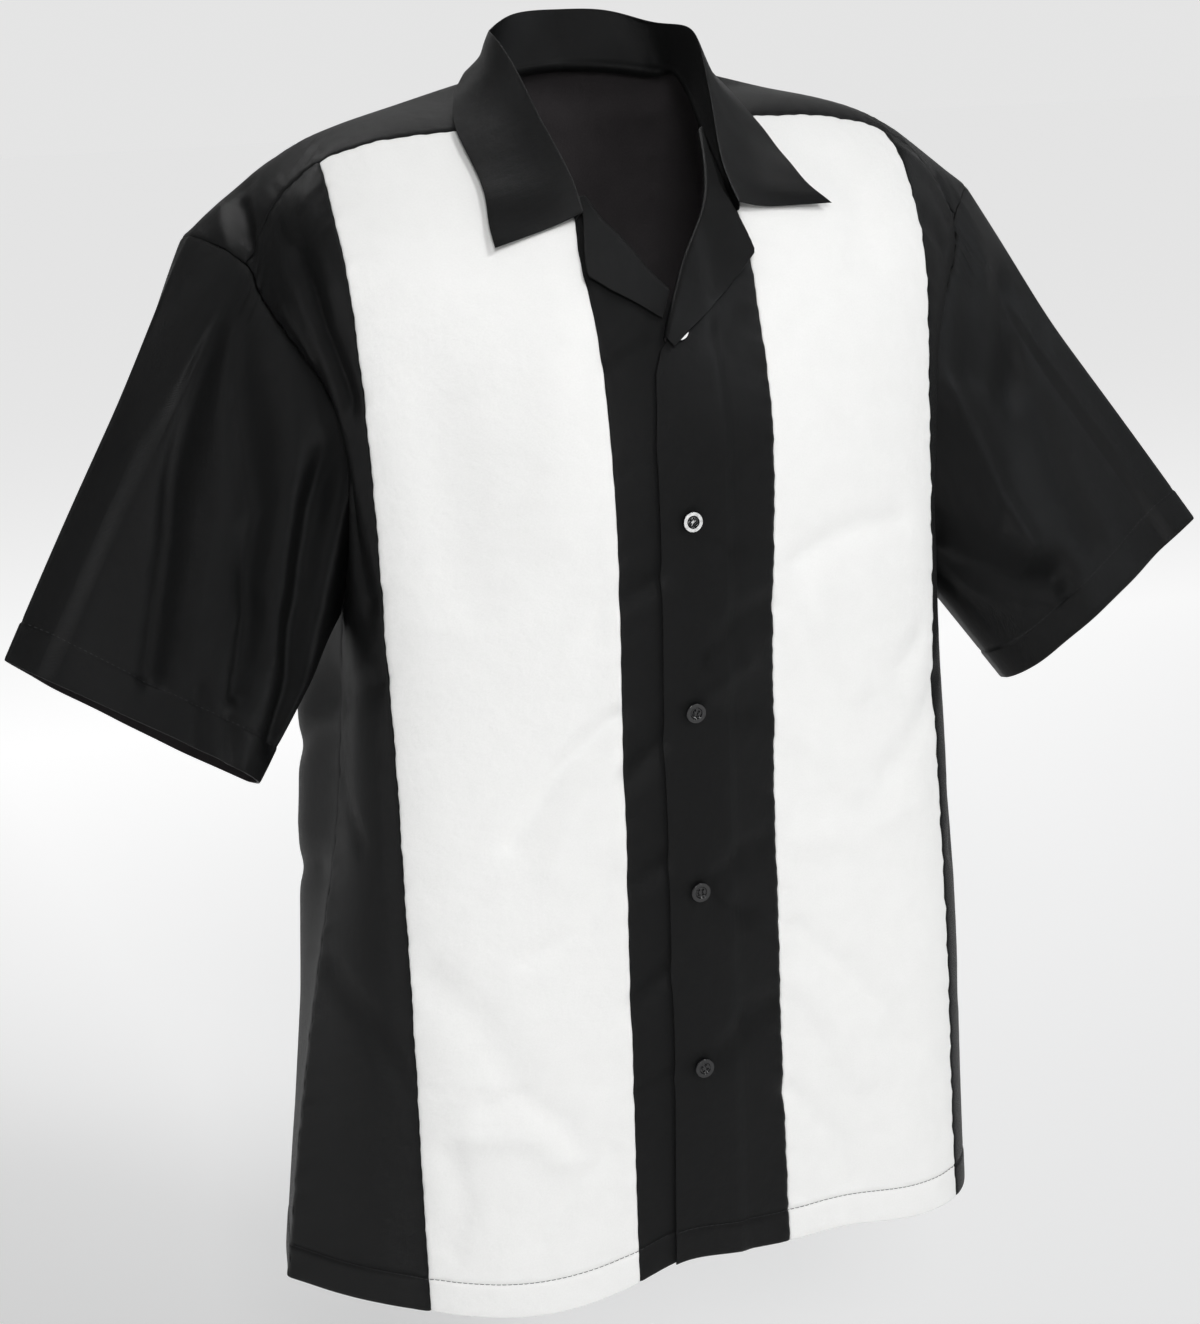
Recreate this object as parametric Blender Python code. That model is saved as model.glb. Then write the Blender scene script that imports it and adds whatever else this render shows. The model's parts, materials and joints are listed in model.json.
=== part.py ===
"""A short-sleeved camp-collar bowling shirt, filled out as if worn, with no wearer inside.

Metres, +Z up. The origin is the base of the neck, midway between the shoulders. The front of
the shirt faces -Y and the wearer's left is +X. Every sewn piece is one closed wall of cloth.
The body is one smooth surface, read from a table of sections that run from the front hem over
the shoulders to the back hem, and the pieces are cut from it along the seams.
"""

from collections import namedtuple
from math import cos, pi, sin

import bpy
import numpy as np
from mathutils import Vector

# Thicknesses and small distances.
CLOTH = 0.0012
FRONT_EDGE_CLOTH = 0.0018
HEM_CLOTH = 0.0021
SEAM_GAP = 0.0003

# How far a piece stops short of its seams, and how much farther its inner face does.
Edge = namedtuple("Edge", "gap bevel")
PLAIN_EDGE = Edge(SEAM_GAP / 2, 0.0010)
FRONT_EDGE = Edge(SEAM_GAP, 0.0010)
SLEEVE_EDGE = Edge(0.0007, 0.0022)

# Hems, overlap and buttons.
BODY_HEM = 0.022
SLEEVE_HEM = 0.025
OVERLAP_LIFT = FRONT_EDGE_CLOTH + 0.0009
OVERLAP_FADE = 0.014
BUTTON_RADIUS = 0.0064
BUTTON_THICKNESS = 0.0026
BUTTON_DISH = 0.0008


def in_mm(row_type, *rows):
    """A table whose rows are written in millimetres, in metres."""
    return [row_type(*(np.array(value) / 1000 for value in row)) for row in rows]


# Sections of the half body, from the front hem over the shoulder to the back hem. `run` is the
# distance along the cloth. Each section is known at four seams: the centre line, the inner and
# outer edge of the front panel (the neck and the blade at the back), and the side or armhole.
# `flare` is how much farther out the wearer's right side seam stands than the left one, and
# `belly` is how far the back stands out between its blade and the side seam.
Section = namedtuple("Section", "run centre inner outer edge flare belly")
SECTIONS = in_mm(
    Section,
    (0, (0, -127, -745), (52, -124.5, -745), (184, -103, -745), (216, -22, -745), 41.5, 0),
    (95, (0, -131, -650), (51, -126, -650), (183, -101, -650), (215, -20, -650), 27.5, 0),
    (170, (0, -133, -575), (50, -127.5, -575), (182, -101, -575), (213, -22, -575), 16, 0),
    (225, (0, -136, -520), (50, -129, -520), (181, -99, -520), (210, -27, -520), 9, 0),
    (285, (0, -139, -460), (49, -131, -460), (180, -96, -460), (206, -30, -460), 1, 0),
    (360, (0, -142, -385), (49, -133.5, -385), (179, -93, -385), (197, -30, -385), 0, 0),
    (433, (0, -147, -312), (49, -139.5, -312), (180, -92, -312), (188, -22, -312), 0, 0),
    (495, (0, -150, -250), (50, -144, -250), (180, -92, -250), (184, -57, -248), 0, 0),
    (555, (0, -147, -190), (51, -141, -190), (181, -90, -190), (188, -63, -190), 0, 0),
    (605, (0, -129, -140), (51, -127, -140), (182.5, -87, -140), (208, -55, -150), 0, 0),
    (650, (0, -107, -98), (52.5, -108.5, -100), (183.5, -77, -98), (222, -46, -126), 0, 0),
    (690, (0, -88, -68), (49.5, -87, -67), (184, -55, -66), (228, -38, -110), 0, 0),
    (723, (0, -50, -35), (51.5, -44, -31), (183, -29, -42), (232, -31, -98), 0, 0),
    (770, (0, 0, -10), (61, 3, -8), (186, 18, -32), (258, 5, -81), 0, 0),
    (820, (0, 58.5, 9), (59, 37, 1), (187, 62, -56), (250, 40, -105), 0, 0),
    (871, (0, 92, -45), (66, 82, -55), (186, 86, -100), (232, 60, -145), 0, 0),
    (932, (0, 114, -120), (70, 108, -125), (183, 98, -160), (212, 66, -200), 0, 0),
    (997, (0, 126, -205), (73, 121, -210), (182, 103, -228), (194, 48, -265), 0, 0),
    (1084, (0, 128, -312), (75, 124, -312), (182, 98, -312), (188, -22, -312), 0, 0),
    (1157, (0, 122, -385), (75, 119, -385), (184, 90, -385), (197, -30, -385), 0, 13),
    (1232, (0, 118, -460), (75, 116, -460), (184, 88, -460), (206, -30, -460), 1, 15),
    (1292, (0, 116, -520), (76, 115, -520), (185, 88, -520), (210, -27, -520), 9, 10),
    (1347, (0, 116, -575), (77, 115, -575), (187, 88, -575), (213, -22, -575), 16, 6),
    (1422, (0, 117, -650), (78, 115, -650), (191, 88, -650), (215, -20, -650), 27.5, 3),
    (1517, (0, 119, -745), (80, 116, -745), (196, 88, -745), (216, -22, -745), 41.5, 2),
)
FRONT_UNDERARM = 0.433
SHOULDER_SEAM = 0.723
RIDGE = 0.770
BACK_NECK = 0.820
BACK_UNDERARM = 1.084
BACK_HEM = 1.517

# Where the four known columns of a section lie, as distances round the half body.
INNER, OUTER, EDGE = 0.060, 0.190, 0.290
COLUMNS = (-EDGE, -OUTER, -INNER, 0.0, INNER, OUTER, EDGE)
BACK_SIDE_SHARE = 0.5

# How much the front hem hangs below (or is caught up above) the level of the side seams.
HemWave = namedtuple("HemWave", "around drop")
HEM_WAVE = (
    HemWave(-0.29, 0.000),
    HemWave(-0.25, 0.000),
    HemWave(-0.19, 0.001),
    HemWave(-0.135, 0.009),
    HemWave(-0.06, 0.000),
    HemWave(-0.03, -0.0095),
    HemWave(0.00, -0.010),
    HemWave(0.06, -0.006),
    HemWave(0.10, -0.007),
    HemWave(0.14, -0.001),
    HemWave(0.19, 0.000),
    HemWave(0.29, 0.000),
)
HEM_WAVE_REACH = 0.14

# Soft folds of the worn cloth. `path` is the line a fold runs along, in distances round and along
# the cloth, `depth` is how far its middle sinks (below 0, how far it rises), and `width` is how
# far to each side it reaches.
Fold = namedtuple("Fold", "path depth width")
BODY_FOLDS = (
    Fold(((-0.228, 0.662), (-0.224, 0.612), (-0.208, 0.572)), 0.0060, 0.012),
    Fold(((-0.206, 0.700), (-0.204, 0.640)), -0.0025, 0.012),
    Fold(((-0.240, 0.762), (-0.268, 0.734)), 0.0035, 0.011),
    Fold(((0.200, 0.702), (0.235, 0.698), (0.262, 0.684)), -0.0030, 0.011),
    Fold(((0.205, 0.655), (0.235, 0.640)), 0.0035, 0.014),
    Fold(((-0.262, 0.940), (-0.215, 1.010), (-0.190, 1.110)), 0.0055, 0.018),
    Fold(((0.258, 0.960), (0.225, 1.020), (0.205, 1.090)), 0.0045, 0.020),
    Fold(((-0.150, 1.210), (-0.170, 1.330), (-0.150, 1.470)), 0.0050, 0.026),
    Fold(((0.110, 1.260), (0.135, 1.360), (0.130, 1.490)), 0.0040, 0.030),
)


def spline(knots, values, at):
    """Reads the natural cubic spline through `values` at the positions `at`."""
    knots, values, at = (np.asarray(x, float) for x in (knots, values, at))
    gaps = np.diff(knots)
    slopes = np.diff(values, axis=0) / gaps[:, None]
    count = len(knots)
    system = np.eye(count)
    target = np.zeros_like(values)
    for i in range(1, count - 1):
        system[i, i - 1 : i + 2] = gaps[i - 1], 2 * (gaps[i - 1] + gaps[i]), gaps[i]
        target[i] = 6 * (slopes[i] - slopes[i - 1])
    bends = np.linalg.solve(system, target)
    i = np.clip(np.searchsorted(knots, at) - 1, 0, count - 2)
    gap, low, high = gaps[i][:, None], (knots[i + 1] - at)[:, None], (at - knots[i])[:, None]
    return (
        (bends[i] * low**3 + bends[i + 1] * high**3) / (6 * gap)
        + (values[i] / gap - bends[i] * gap / 6) * low
        + (values[i + 1] / gap - bends[i + 1] * gap / 6) * high
    )


def smooth(x, low, high):
    """0 below `low`, 1 above `high`, and an even S between them."""
    t = np.clip((np.asarray(x, float) - low) / (high - low), 0, 1)
    return t * t * (3 - 2 * t)


def column(name, side, runs):
    """The points of one seam column at these runs, on the wearer's left (1) or right (-1)."""
    knots = np.array([s.run for s in SECTIONS])
    points = np.array([getattr(s, name) for s in SECTIONS], float)
    flare = np.array([s.flare for s in SECTIONS]) if side < 0 else np.zeros(len(knots))
    if name == "edge":
        points[:, 0] += flare
    if name == "outer":
        points[:, 0] += np.where(knots > BACK_UNDERARM, BACK_SIDE_SHARE * flare, 0)
    points[:, 0] *= side
    if name != "edge":
        return spline(knots, points, runs)
    # The side seams and the armhole meet in a corner at the underarm.
    out = np.empty((len(runs), 3))
    corners = (0, FRONT_UNDERARM, BACK_UNDERARM, BACK_HEM)
    for low, high in zip(corners[:-1], corners[1:]):
        own = (knots >= low) & (knots <= high)
        wanted = (runs >= low) & (runs <= high)
        out[wanted] = spline(knots[own], points[own], runs[wanted])
    return out


def sunk(at, folds):
    """How far soft folds sink the cloth at these points of its own plane."""
    total = np.zeros(at.shape[:-1])
    for path, depth, width in folds:
        nearest = np.full(total.shape, np.inf)
        for start, end in zip(np.array(path[:-1]), np.array(path[1:])):
            step = end - start
            share = np.clip((at - start) @ step / (step @ step), 0, 1)
            apart = np.linalg.norm(at - start - share[..., None] * step, axis=-1)
            nearest = np.minimum(nearest, apart)
        total += depth * np.exp(-((nearest / width) ** 2))
    return total


def unfolded_body(arounds, runs):
    """The body without its folds, at pairs of distance round and distance along the cloth."""
    arounds, runs = np.broadcast_arrays(np.asarray(arounds, float), np.asarray(runs, float))
    flat_runs, where = np.unique(runs.ravel(), return_inverse=True)
    net = np.stack(
        [column(name, -1, flat_runs) for name in ("edge", "outer", "inner")]
        + [column("centre", 1, flat_runs)]
        + [column(name, 1, flat_runs) for name in ("inner", "outer", "edge")]
    )
    flat = arounds.ravel()
    out = np.empty((len(flat), 3))
    for k in range(len(flat_runs)):
        own = where == k
        out[own] = spline(COLUMNS, net[:, k], flat[own])
    side_share = np.clip((np.abs(flat) - OUTER) / (EDGE - OUTER), 0, 1)
    belly = np.interp(runs.ravel(), [s.run for s in SECTIONS], [s.belly for s in SECTIONS])
    out[:, 0] += np.sign(flat) * belly * np.sin(pi * side_share) ** 2
    wave_at, wave = np.array(HEM_WAVE).T
    wave = spline(wave_at, wave[:, None], flat)[:, 0]
    out[:, 2] -= wave * (1 - smooth(runs.ravel(), 0, HEM_WAVE_REACH))
    return out.reshape(arounds.shape + (3,))


def raised(surface, arounds, runs, lift):
    """Points that stand `lift` off a surface."""
    step = 0.002
    points = surface(arounds, runs)
    across = surface(arounds + step, runs) - points
    normal = np.cross(across, surface(arounds, runs + step) - points)
    normal /= np.linalg.norm(normal, axis=-1, keepdims=True)
    return points + normal * np.asarray(lift, float)[..., None]


def body(arounds, runs):
    """The outer face of the body, folds and all."""
    arounds, runs = np.broadcast_arrays(np.asarray(arounds, float), np.asarray(runs, float))
    fold = sunk(np.stack([arounds, runs], axis=-1), BODY_FOLDS)
    return raised(unfolded_body, arounds, runs, -fold)


def on_body(arounds, runs, lift):
    """Points that stand `lift` off the outer face of the body."""
    return raised(body, arounds, runs, lift)


def grid_normals(points, closed=False):
    """Unit normals of a grid of points, across its first axis and along its second."""
    if closed:
        across = np.roll(points, -1, axis=0) - np.roll(points, 1, axis=0)
    else:
        across = np.gradient(points, axis=0, edge_order=2)
    along = np.gradient(points, axis=1, edge_order=2)
    normal = np.cross(across, along)
    return normal / np.linalg.norm(normal, axis=-1, keepdims=True)


def grid_faces(shape, closed=False, cut=None):
    """Triangles over a grid, as point numbers. Squares marked in `cut` are left out."""
    index = np.arange(shape[0] * shape[1]).reshape(shape)
    if closed:
        near, far = index, np.roll(index, -1, axis=0)
    else:
        near, far = index[:-1], index[1:]
    corners = np.stack([near[:, :-1], far[:, :-1], far[:, 1:], near[:, 1:]], axis=-1)
    squares = corners[~cut] if cut is not None else corners.reshape(-1, 4)
    return np.concatenate([squares[:, [0, 1, 2]], squares[:, [0, 2, 3]]])


def border_of(faces):
    """The edges that only one face uses, in that face's direction."""
    edges = np.concatenate([faces[:, [0, 1]], faces[:, [1, 2]], faces[:, [2, 0]]])
    ends = np.sort(edges, axis=1)
    _, where, count = np.unique(ends, axis=0, return_inverse=True, return_counts=True)
    return edges[count[where.ravel()] == 1]


def drawn_in(points, normal, border, amount):
    """The points, with those on the border moved into the cloth by `amount`."""
    inward = np.cross(normal[border].mean(axis=1), points[border[:, 1]] - points[border[:, 0]])
    inward /= np.linalg.norm(inward, axis=-1, keepdims=True)
    before, after = np.zeros_like(points), np.zeros_like(points)
    after[border[:, 0]] = inward
    before[border[:, 1]] = inward
    spread = 1 + (after * before).sum(axis=-1, keepdims=True)
    return points + amount * (after + before) / np.maximum(spread, 0.4)


def cloth(name, points, material, lift=0.0, wall=CLOTH, closed=False, cut=None, edge=PLAIN_EDGE):
    """One cut of cloth over a grid of points. Its outer face lies `lift` above them."""
    normal = grid_normals(points, closed)
    lift, wall = (np.broadcast_to(x, points.shape[:2])[..., None] for x in (lift, wall))
    faces = grid_faces(points.shape[:2], closed, cut)
    used, flat = np.unique(faces, return_inverse=True)
    faces = flat.reshape(faces.shape)
    outer = (points + normal * lift).reshape(-1, 3)[used]
    inner = (points + normal * (lift - wall)).reshape(-1, 3)[used]
    normal = normal.reshape(-1, 3)[used]
    border = border_of(faces)
    outer = drawn_in(outer, normal, border, edge.gap)
    inner = drawn_in(inner, normal, border, edge.gap + edge.bevel)
    count = len(used)
    rim = np.concatenate(
        [
            np.stack([border[:, 1], border[:, 0], border[:, 0] + count], axis=1),
            np.stack([border[:, 1], border[:, 0] + count, border[:, 1] + count], axis=1),
        ]
    )
    mesh = bpy.data.meshes.new(name)
    mesh.from_pydata(
        np.concatenate([outer, inner]).tolist(),
        [],
        np.concatenate([faces, faces[:, ::-1] + count, rim]).tolist(),
    )
    return piece(name, mesh, material)


def piece(name, mesh, material):
    """Adds one piece to the scene."""
    mesh.materials.clear()
    mesh.materials.append(material)
    mesh.shade_smooth()
    mesh.set_sharp_from_angle(angle=pi / 5)
    obj = bpy.data.objects.new(name, mesh)
    bpy.context.scene.collection.objects.link(obj)
    return obj


def material(name, colour, roughness):
    """A plain material of one colour."""
    made = bpy.data.materials.new(name)
    made.use_nodes = True
    shader = made.node_tree.nodes["Principled BSDF"]
    shader.inputs["Base Color"].default_value = (*colour, 1)
    shader.inputs["Roughness"].default_value = roughness
    return made


def hem_wall(from_end, depth):
    """The thickness of cloth whose hem is turned in over `depth`."""
    return np.where(from_end <= depth + 1e-5, HEM_CLOTH, CLOTH)


def side_rows():
    """Distances from the hem up to the underarm, at which front and back have rows of points."""
    rows = np.linspace(0, FRONT_UNDERARM, 12)
    hem_top = np.array([BODY_HEM, BODY_HEM + 0.002])
    clear = np.abs(rows - BODY_HEM) > 0.008
    return np.unique(np.concatenate([rows[clear], hem_top]))


def front_rows():
    """The runs of the rows of points that every front piece shares."""
    return np.concatenate([side_rows(), [0.4715], np.linspace(0.51, SHOULDER_SEAM, 12)])


def back_rows():
    """The runs of the back's rows of points, from the shoulder seam to the hem."""
    over = [SHOULDER_SEAM, 0.7465, RIDGE, 0.795]
    blade = np.linspace(BACK_NECK, BACK_UNDERARM, 9)[:-1]
    return np.concatenate([over, blade, BACK_HEM - side_rows()[::-1]])


def panel(name, side, low, high, columns, black, material=None):
    """A front panel from the hem to the shoulder seam, between two seams."""
    arounds = np.sort(side * np.linspace(low, high, columns))
    u, v = np.meshgrid(arounds, front_rows(), indexing="ij")
    return cloth(name, body(u, v), material or black, wall=hem_wall(v, BODY_HEM))


# The free edge of each front, from the hem to the foot of its roll line.
FrontEdge = namedtuple("FrontEdge", "run around")
LEFT_FRONT_EDGE = (
    FrontEdge(0.000, -0.034),
    FrontEdge(0.160, -0.031),
    FrontEdge(0.350, -0.033),
    FrontEdge(0.465, -0.033),
    FrontEdge(0.534, -0.0325),
    FrontEdge(0.574, -0.0275),
    FrontEdge(0.587, -0.0210),
)
RIGHT_FRONT_EDGE = (
    FrontEdge(0.000, -0.015),
    FrontEdge(0.560, -0.015),
    FrontEdge(0.590, -0.008),
    FrontEdge(0.612, 0.004),
)

# Lapels, from the foot of the roll line up to the gorge: where the fold and the lapel's outer
# edge lie on the front, and how far each stands off it.
Lapel = namedtuple("Lapel", "fold_around fold_run edge_around edge_run fold_lift edge_lift")
LEFT_LAPEL = (
    Lapel(-0.0180, 0.5930, -0.0125, 0.5870, 0.0050, 0.0054),
    Lapel(-0.0157, 0.5996, -0.0010, 0.5936, 0.0052, 0.0054),
    Lapel(-0.0070, 0.6116, 0.0150, 0.6016, 0.0046, 0.0050),
    Lapel(-0.0010, 0.6216, 0.0360, 0.6156, 0.0042, 0.0060),
    Lapel(0.0080, 0.6350, 0.0500, 0.6276, 0.0040, 0.0080),
    Lapel(0.0160, 0.6456, 0.0590, 0.6376, 0.0040, 0.0100),
    Lapel(0.0270, 0.6736, 0.0565, 0.6685, 0.0040, 0.0050),
    Lapel(0.0400, 0.6875, 0.0530, 0.6870, 0.0040, 0.0040),
    Lapel(0.0500, 0.7035, 0.0560, 0.7045, 0.0036, 0.0034),
)
RIGHT_LAPEL = (
    Lapel(0.0040, 0.6205, 0.0150, 0.6040, 0.0040, 0.0030),
    Lapel(0.0130, 0.6290, 0.0320, 0.6136, 0.0040, 0.0040),
    Lapel(0.0210, 0.6400, 0.0470, 0.6216, 0.0040, 0.0050),
    Lapel(0.0290, 0.6536, 0.0600, 0.6316, 0.0040, 0.0060),
    Lapel(0.0385, 0.6660, 0.0575, 0.6556, 0.0040, 0.0050),
    Lapel(0.0440, 0.6736, 0.0562, 0.6720, 0.0038, 0.0040),
    Lapel(0.0500, 0.6860, 0.0562, 0.6860, 0.0036, 0.0034),
)

# The section of a lapel's fold: the distance from its crest, and the share of its height.
LAPEL_FOLD = ((0.0028, 0.0), (0.0008, 0.12), (0.0, 0.42), (0.0008, 0.82), (0.0028, 1.0))

# How much farther back each front is cut than its lapel comes out of it.
ROLL_GAP = {1: 0.0, -1: -0.0005}
GORGE_RUN = 0.672


def fronts_of(side):
    """The tables of one front: its free edge and its lapel."""
    return (LEFT_FRONT_EDGE, LEFT_LAPEL) if side > 0 else (RIGHT_FRONT_EDGE, RIGHT_LAPEL)


def overlap_lift(side, arounds):
    """How far the wearer's left front stands off the body surface, over the right front."""
    if side < 0:
        return np.zeros_like(arounds)
    under_edge = -RIGHT_FRONT_EDGE[0].around + 0.003
    return OVERLAP_LIFT * (1 - smooth(arounds, under_edge, under_edge + OVERLAP_FADE))


def lapel_line(row, distance):
    """The point of the front at this distance from a lapel's fold, towards its edge."""
    fold = np.array([row.fold_around, row.fold_run])
    out = np.array([row.edge_around, row.edge_run]) - fold
    return fold + out * distance / np.linalg.norm(out)


def roll_rows(side):
    """The runs of a front's rows along its roll line, and the lapel's sizes at each of them."""
    lapel_rows = fronts_of(side)[1]
    cut = [lapel_line(row, LAPEL_FOLD[0][0])[1] for row in lapel_rows]
    shared = front_rows()
    shared = shared[(shared > cut[0]) & (shared < cut[-1])]
    clear = np.abs(shared[:, None] - cut).min(axis=1) > 0.004
    runs = np.sort(np.concatenate([cut, shared[clear]]))
    columns = [np.interp(runs, cut, values) for values in np.array(lapel_rows).T]
    return runs, [Lapel(*row) for row in zip(*columns)]


def centre_front(name, side, black):
    """The strip between a front's edge and its panel, cut away along the roll line."""
    edge = fronts_of(side)[0]
    upper, lapel_rows = roll_rows(side)
    roll = np.array([lapel_line(row, LAPEL_FOLD[0][0] + ROLL_GAP[side]) for row in lapel_rows])
    cut_around = np.concatenate([[row.around for row in edge], roll[:, 0]])
    cut_run = np.concatenate([[row.run for row in edge], roll[:, 1]])
    shared = front_rows()
    runs = np.concatenate([shared[shared < upper[0] - 0.004], roll[:, 1]])
    start = np.interp(runs, cut_run, cut_around)
    u = start + (INNER - start) * np.linspace(0, 1, 7)[:, None]
    v = np.broadcast_to(runs, u.shape)
    lift = overlap_lift(side, u)
    wall = np.maximum(hem_wall(v, BODY_HEM), FRONT_EDGE_CLOTH * (u < INNER * 0.55))
    if side < 0:
        u, v, lift, wall = -u[::-1], v[::-1], lift[::-1], wall[::-1]
    return cloth(name, body(u, v), black, lift=lift, wall=wall, edge=FRONT_EDGE)


def lapel(name, side, black):
    """The turned-back corner of a front: out of its cut edge, round the fold and over it."""
    rows = roll_rows(side)[1]
    u, v, lift = (np.empty((len(LAPEL_FOLD) + 4, len(rows))) for _ in range(3))
    for k, row in enumerate(rows):
        width = np.hypot(row.edge_around - row.fold_around, row.edge_run - row.fold_run)
        flat = np.linspace(LAPEL_FOLD[-1][0], width, 5)[1:]
        for j, distance in enumerate([d for d, _ in LAPEL_FOLD] + list(flat)):
            u[j, k], v[j, k] = lapel_line(row, distance)
        heights = [-CLOTH + share * (row.fold_lift + CLOTH) for _, share in LAPEL_FOLD]
        share = (flat - LAPEL_FOLD[-1][0]) / (width - LAPEL_FOLD[-1][0])
        lift[:, k] = heights + list(row.fold_lift + (row.edge_lift - row.fold_lift) * share**1.3)
    lift += overlap_lift(side, u)
    if side < 0:
        u, v, lift = -u[::-1], v[::-1], lift[::-1]
    return cloth(name, on_body(u, v, lift), black)


def back(name, black):
    """The back in one piece, forward over both shoulders, with the neck cut out of it."""
    arounds = np.concatenate(
        [
            np.linspace(-EDGE, -OUTER, 6)[:-1],
            np.linspace(-OUTER, -INNER, 6)[:-1],
            np.linspace(-INNER, INNER, 7),
            np.linspace(INNER, OUTER, 6)[1:],
            np.linspace(OUTER, EDGE, 6)[1:],
        ]
    )
    rows = back_rows()
    u, v = np.meshgrid(arounds, rows, indexing="ij")
    middle = (arounds[:-1] + arounds[1:]) / 2
    cut = (np.abs(middle) < INNER)[:, None] & (rows[1:] <= BACK_NECK + 1e-6)[None]
    return cloth(name, body(u, v), black, wall=hem_wall(BACK_HEM - v, BODY_HEM), cut=cut)


# Sections of a sleeve from the armhole to the cuff: where its top and underarm folds lie, and
# how far its front and back bulge from the chord between them, right and left.
Sleeve = namedtuple("Sleeve", "share top under front_right front_left back")
SLEEVE = (
    Sleeve(0.00, (0.258, 0.005, -0.081), (0.188, -0.022, -0.312), 0.048, 0.048, 0.056),
    Sleeve(0.30, (0.300, -0.012, -0.152), (0.209, -0.0285, -0.341), 0.048, 0.046, 0.048),
    Sleeve(0.65, (0.348, -0.035, -0.229), (0.233, -0.0345, -0.374), 0.050, 0.042, 0.036),
    Sleeve(1.00, (0.396, -0.061, -0.308), (0.257, -0.040, -0.407), 0.048, 0.035, 0.028),
)
ARMHOLE_FADE = 0.45

# Folds of the sleeves. Their paths are in shares of the way down a sleeve, and of the way from
# its top to its underarm.
RIGHT_SLEEVE_FOLDS = (
    Fold(((0.05, 0.07), (0.18, 0.12), (0.33, 0.24), (0.76, 0.45)), 0.0050, 0.016),
    Fold(((0.07, 0.16), (0.23, 0.41), (0.34, 0.54), (0.59, 0.67)), 0.0060, 0.015),
    Fold(((0.08, 0.31), (0.19, 0.47), (0.33, 0.62), (0.57, 0.73)), -0.0030, 0.014),
    Fold(((0.05, 0.50), (0.14, 0.51), (0.33, 0.69), (0.57, 0.84)), 0.0100, 0.018),
)
LEFT_SLEEVE_FOLDS = (
    Fold(((0.04, 0.07), (0.18, 0.14), (0.23, 0.17)), -0.0030, 0.014),
    Fold(((0.21, 0.12), (0.29, 0.27), (0.30, 0.35)), 0.0060, 0.014),
    Fold(((0.15, 0.51), (0.39, 0.64), (0.60, 0.66)), -0.0035, 0.015),
    Fold(((0.24, 0.90), (0.45, 0.84), (0.67, 0.75), (0.78, 0.66)), 0.0085, 0.017),
)
BACK_SLEEVE_FOLDS = (
    Fold(((0.10, 0.30), (0.35, 0.48), (0.70, 0.60)), 0.0060, 0.017),
    Fold(((0.12, 0.72), (0.40, 0.80)), 0.0050, 0.015),
)


def armhole(side):
    """Points round an armhole, down its front and up its back, and which of them are its front."""
    front, rear = front_rows(), back_rows()
    down = np.concatenate([rear[rear <= RIDGE][::-1], front[front >= FRONT_UNDERARM][-2::-1]])
    up = rear[(rear > RIDGE) & (rear < BACK_UNDERARM - 0.001)][::-1]
    is_front = np.arange(len(down) + len(up)) < len(down)
    hole = body(side * EDGE, np.concatenate([down, up]))
    between = (hole + np.roll(hole, -1, axis=0)) / 2
    ring = np.stack([hole, between], axis=1).reshape(-1, 3)
    return ring, np.stack([is_front, is_front & np.roll(is_front, -1)], axis=1).ravel()


def sleeve_surface(side, hole, is_front, shares):
    """The sleeve's outer face, for each point of the armhole and each share of the way down."""
    knots = [row.share for row in SLEEVE]
    mirror = np.array([side, 1, 1])
    top = spline(knots, [row.top for row in SLEEVE], shares.ravel()) * mirror
    under = spline(knots, [row.under for row in SLEEVE], shares.ravel()) * mirror
    top, under = top.reshape(shares.shape + (3,)), under.reshape(shares.shape + (3,))
    front = [row.front_left if side > 0 else row.front_right for row in SLEEVE]
    front, rear = (
        np.interp(shares, knots, values) for values in (front, [row.back for row in SLEEVE])
    )
    first, last = SLEEVE[0], SLEEVE[-1]
    chord0 = (np.array(first.under) - first.top) * mirror
    apart = hole - np.array(first.top) * mirror
    down = np.clip((apart @ chord0) / (chord0 @ chord0), 0, 1)
    offset0 = apart - down[:, None] * chord0
    axis = (np.array(last.top) + last.under - first.top - first.under) * mirror
    chord = under - top
    forward = np.cross(np.broadcast_to(axis, chord.shape), chord)
    forward /= np.linalg.norm(forward, axis=-1, keepdims=True)
    forward *= -np.sign(forward[..., 1:2])
    low_belly = (down / 0.75) ** 1.5 * ((1 - down) / 0.25) ** 0.5
    even_belly = (4 * down * (1 - down)) ** 0.75
    bulge = np.where(is_front[:, None], front * low_belly[:, None], -rear * even_belly[:, None])
    bulge -= sleeve_fold(side, down, is_front, shares)
    fade = smooth(shares, 0, ARMHOLE_FADE)[..., None]
    return (
        top
        + chord * down[:, None, None]
        + (1 - fade) * offset0[:, None]
        + fade * bulge[..., None] * forward
    )


def sleeve_fold(side, down, is_front, shares):
    """How far the folds sink a sleeve's front and, towards the wearer's back, its rear."""
    tall, top_length, under_length = sleeve_sizes()
    size = np.array([(top_length + under_length) / 2, tall])
    at = np.stack(np.broadcast_arrays(shares, down[:, None]), axis=-1) * size
    front, rear = (
        sunk(at, [fold._replace(path=np.array(fold.path) * size) for fold in folds])
        for folds in (LEFT_SLEEVE_FOLDS if side > 0 else RIGHT_SLEEVE_FOLDS, BACK_SLEEVE_FOLDS)
    )
    clear = np.clip(12 * down * (1 - down), 0, 1)[:, None] * smooth(shares, 0, 0.12)
    return clear * np.where(is_front[:, None], front, -rear)


def sleeve_sizes():
    """How far apart a sleeve's top and underarm start, and how long each of them is."""
    first, last = SLEEVE[0], SLEEVE[-1]
    ends = ((first.top, first.under), (first.top, last.top), (first.under, last.under))
    return [np.linalg.norm(np.subtract(start, end)) for start, end in ends]


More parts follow.
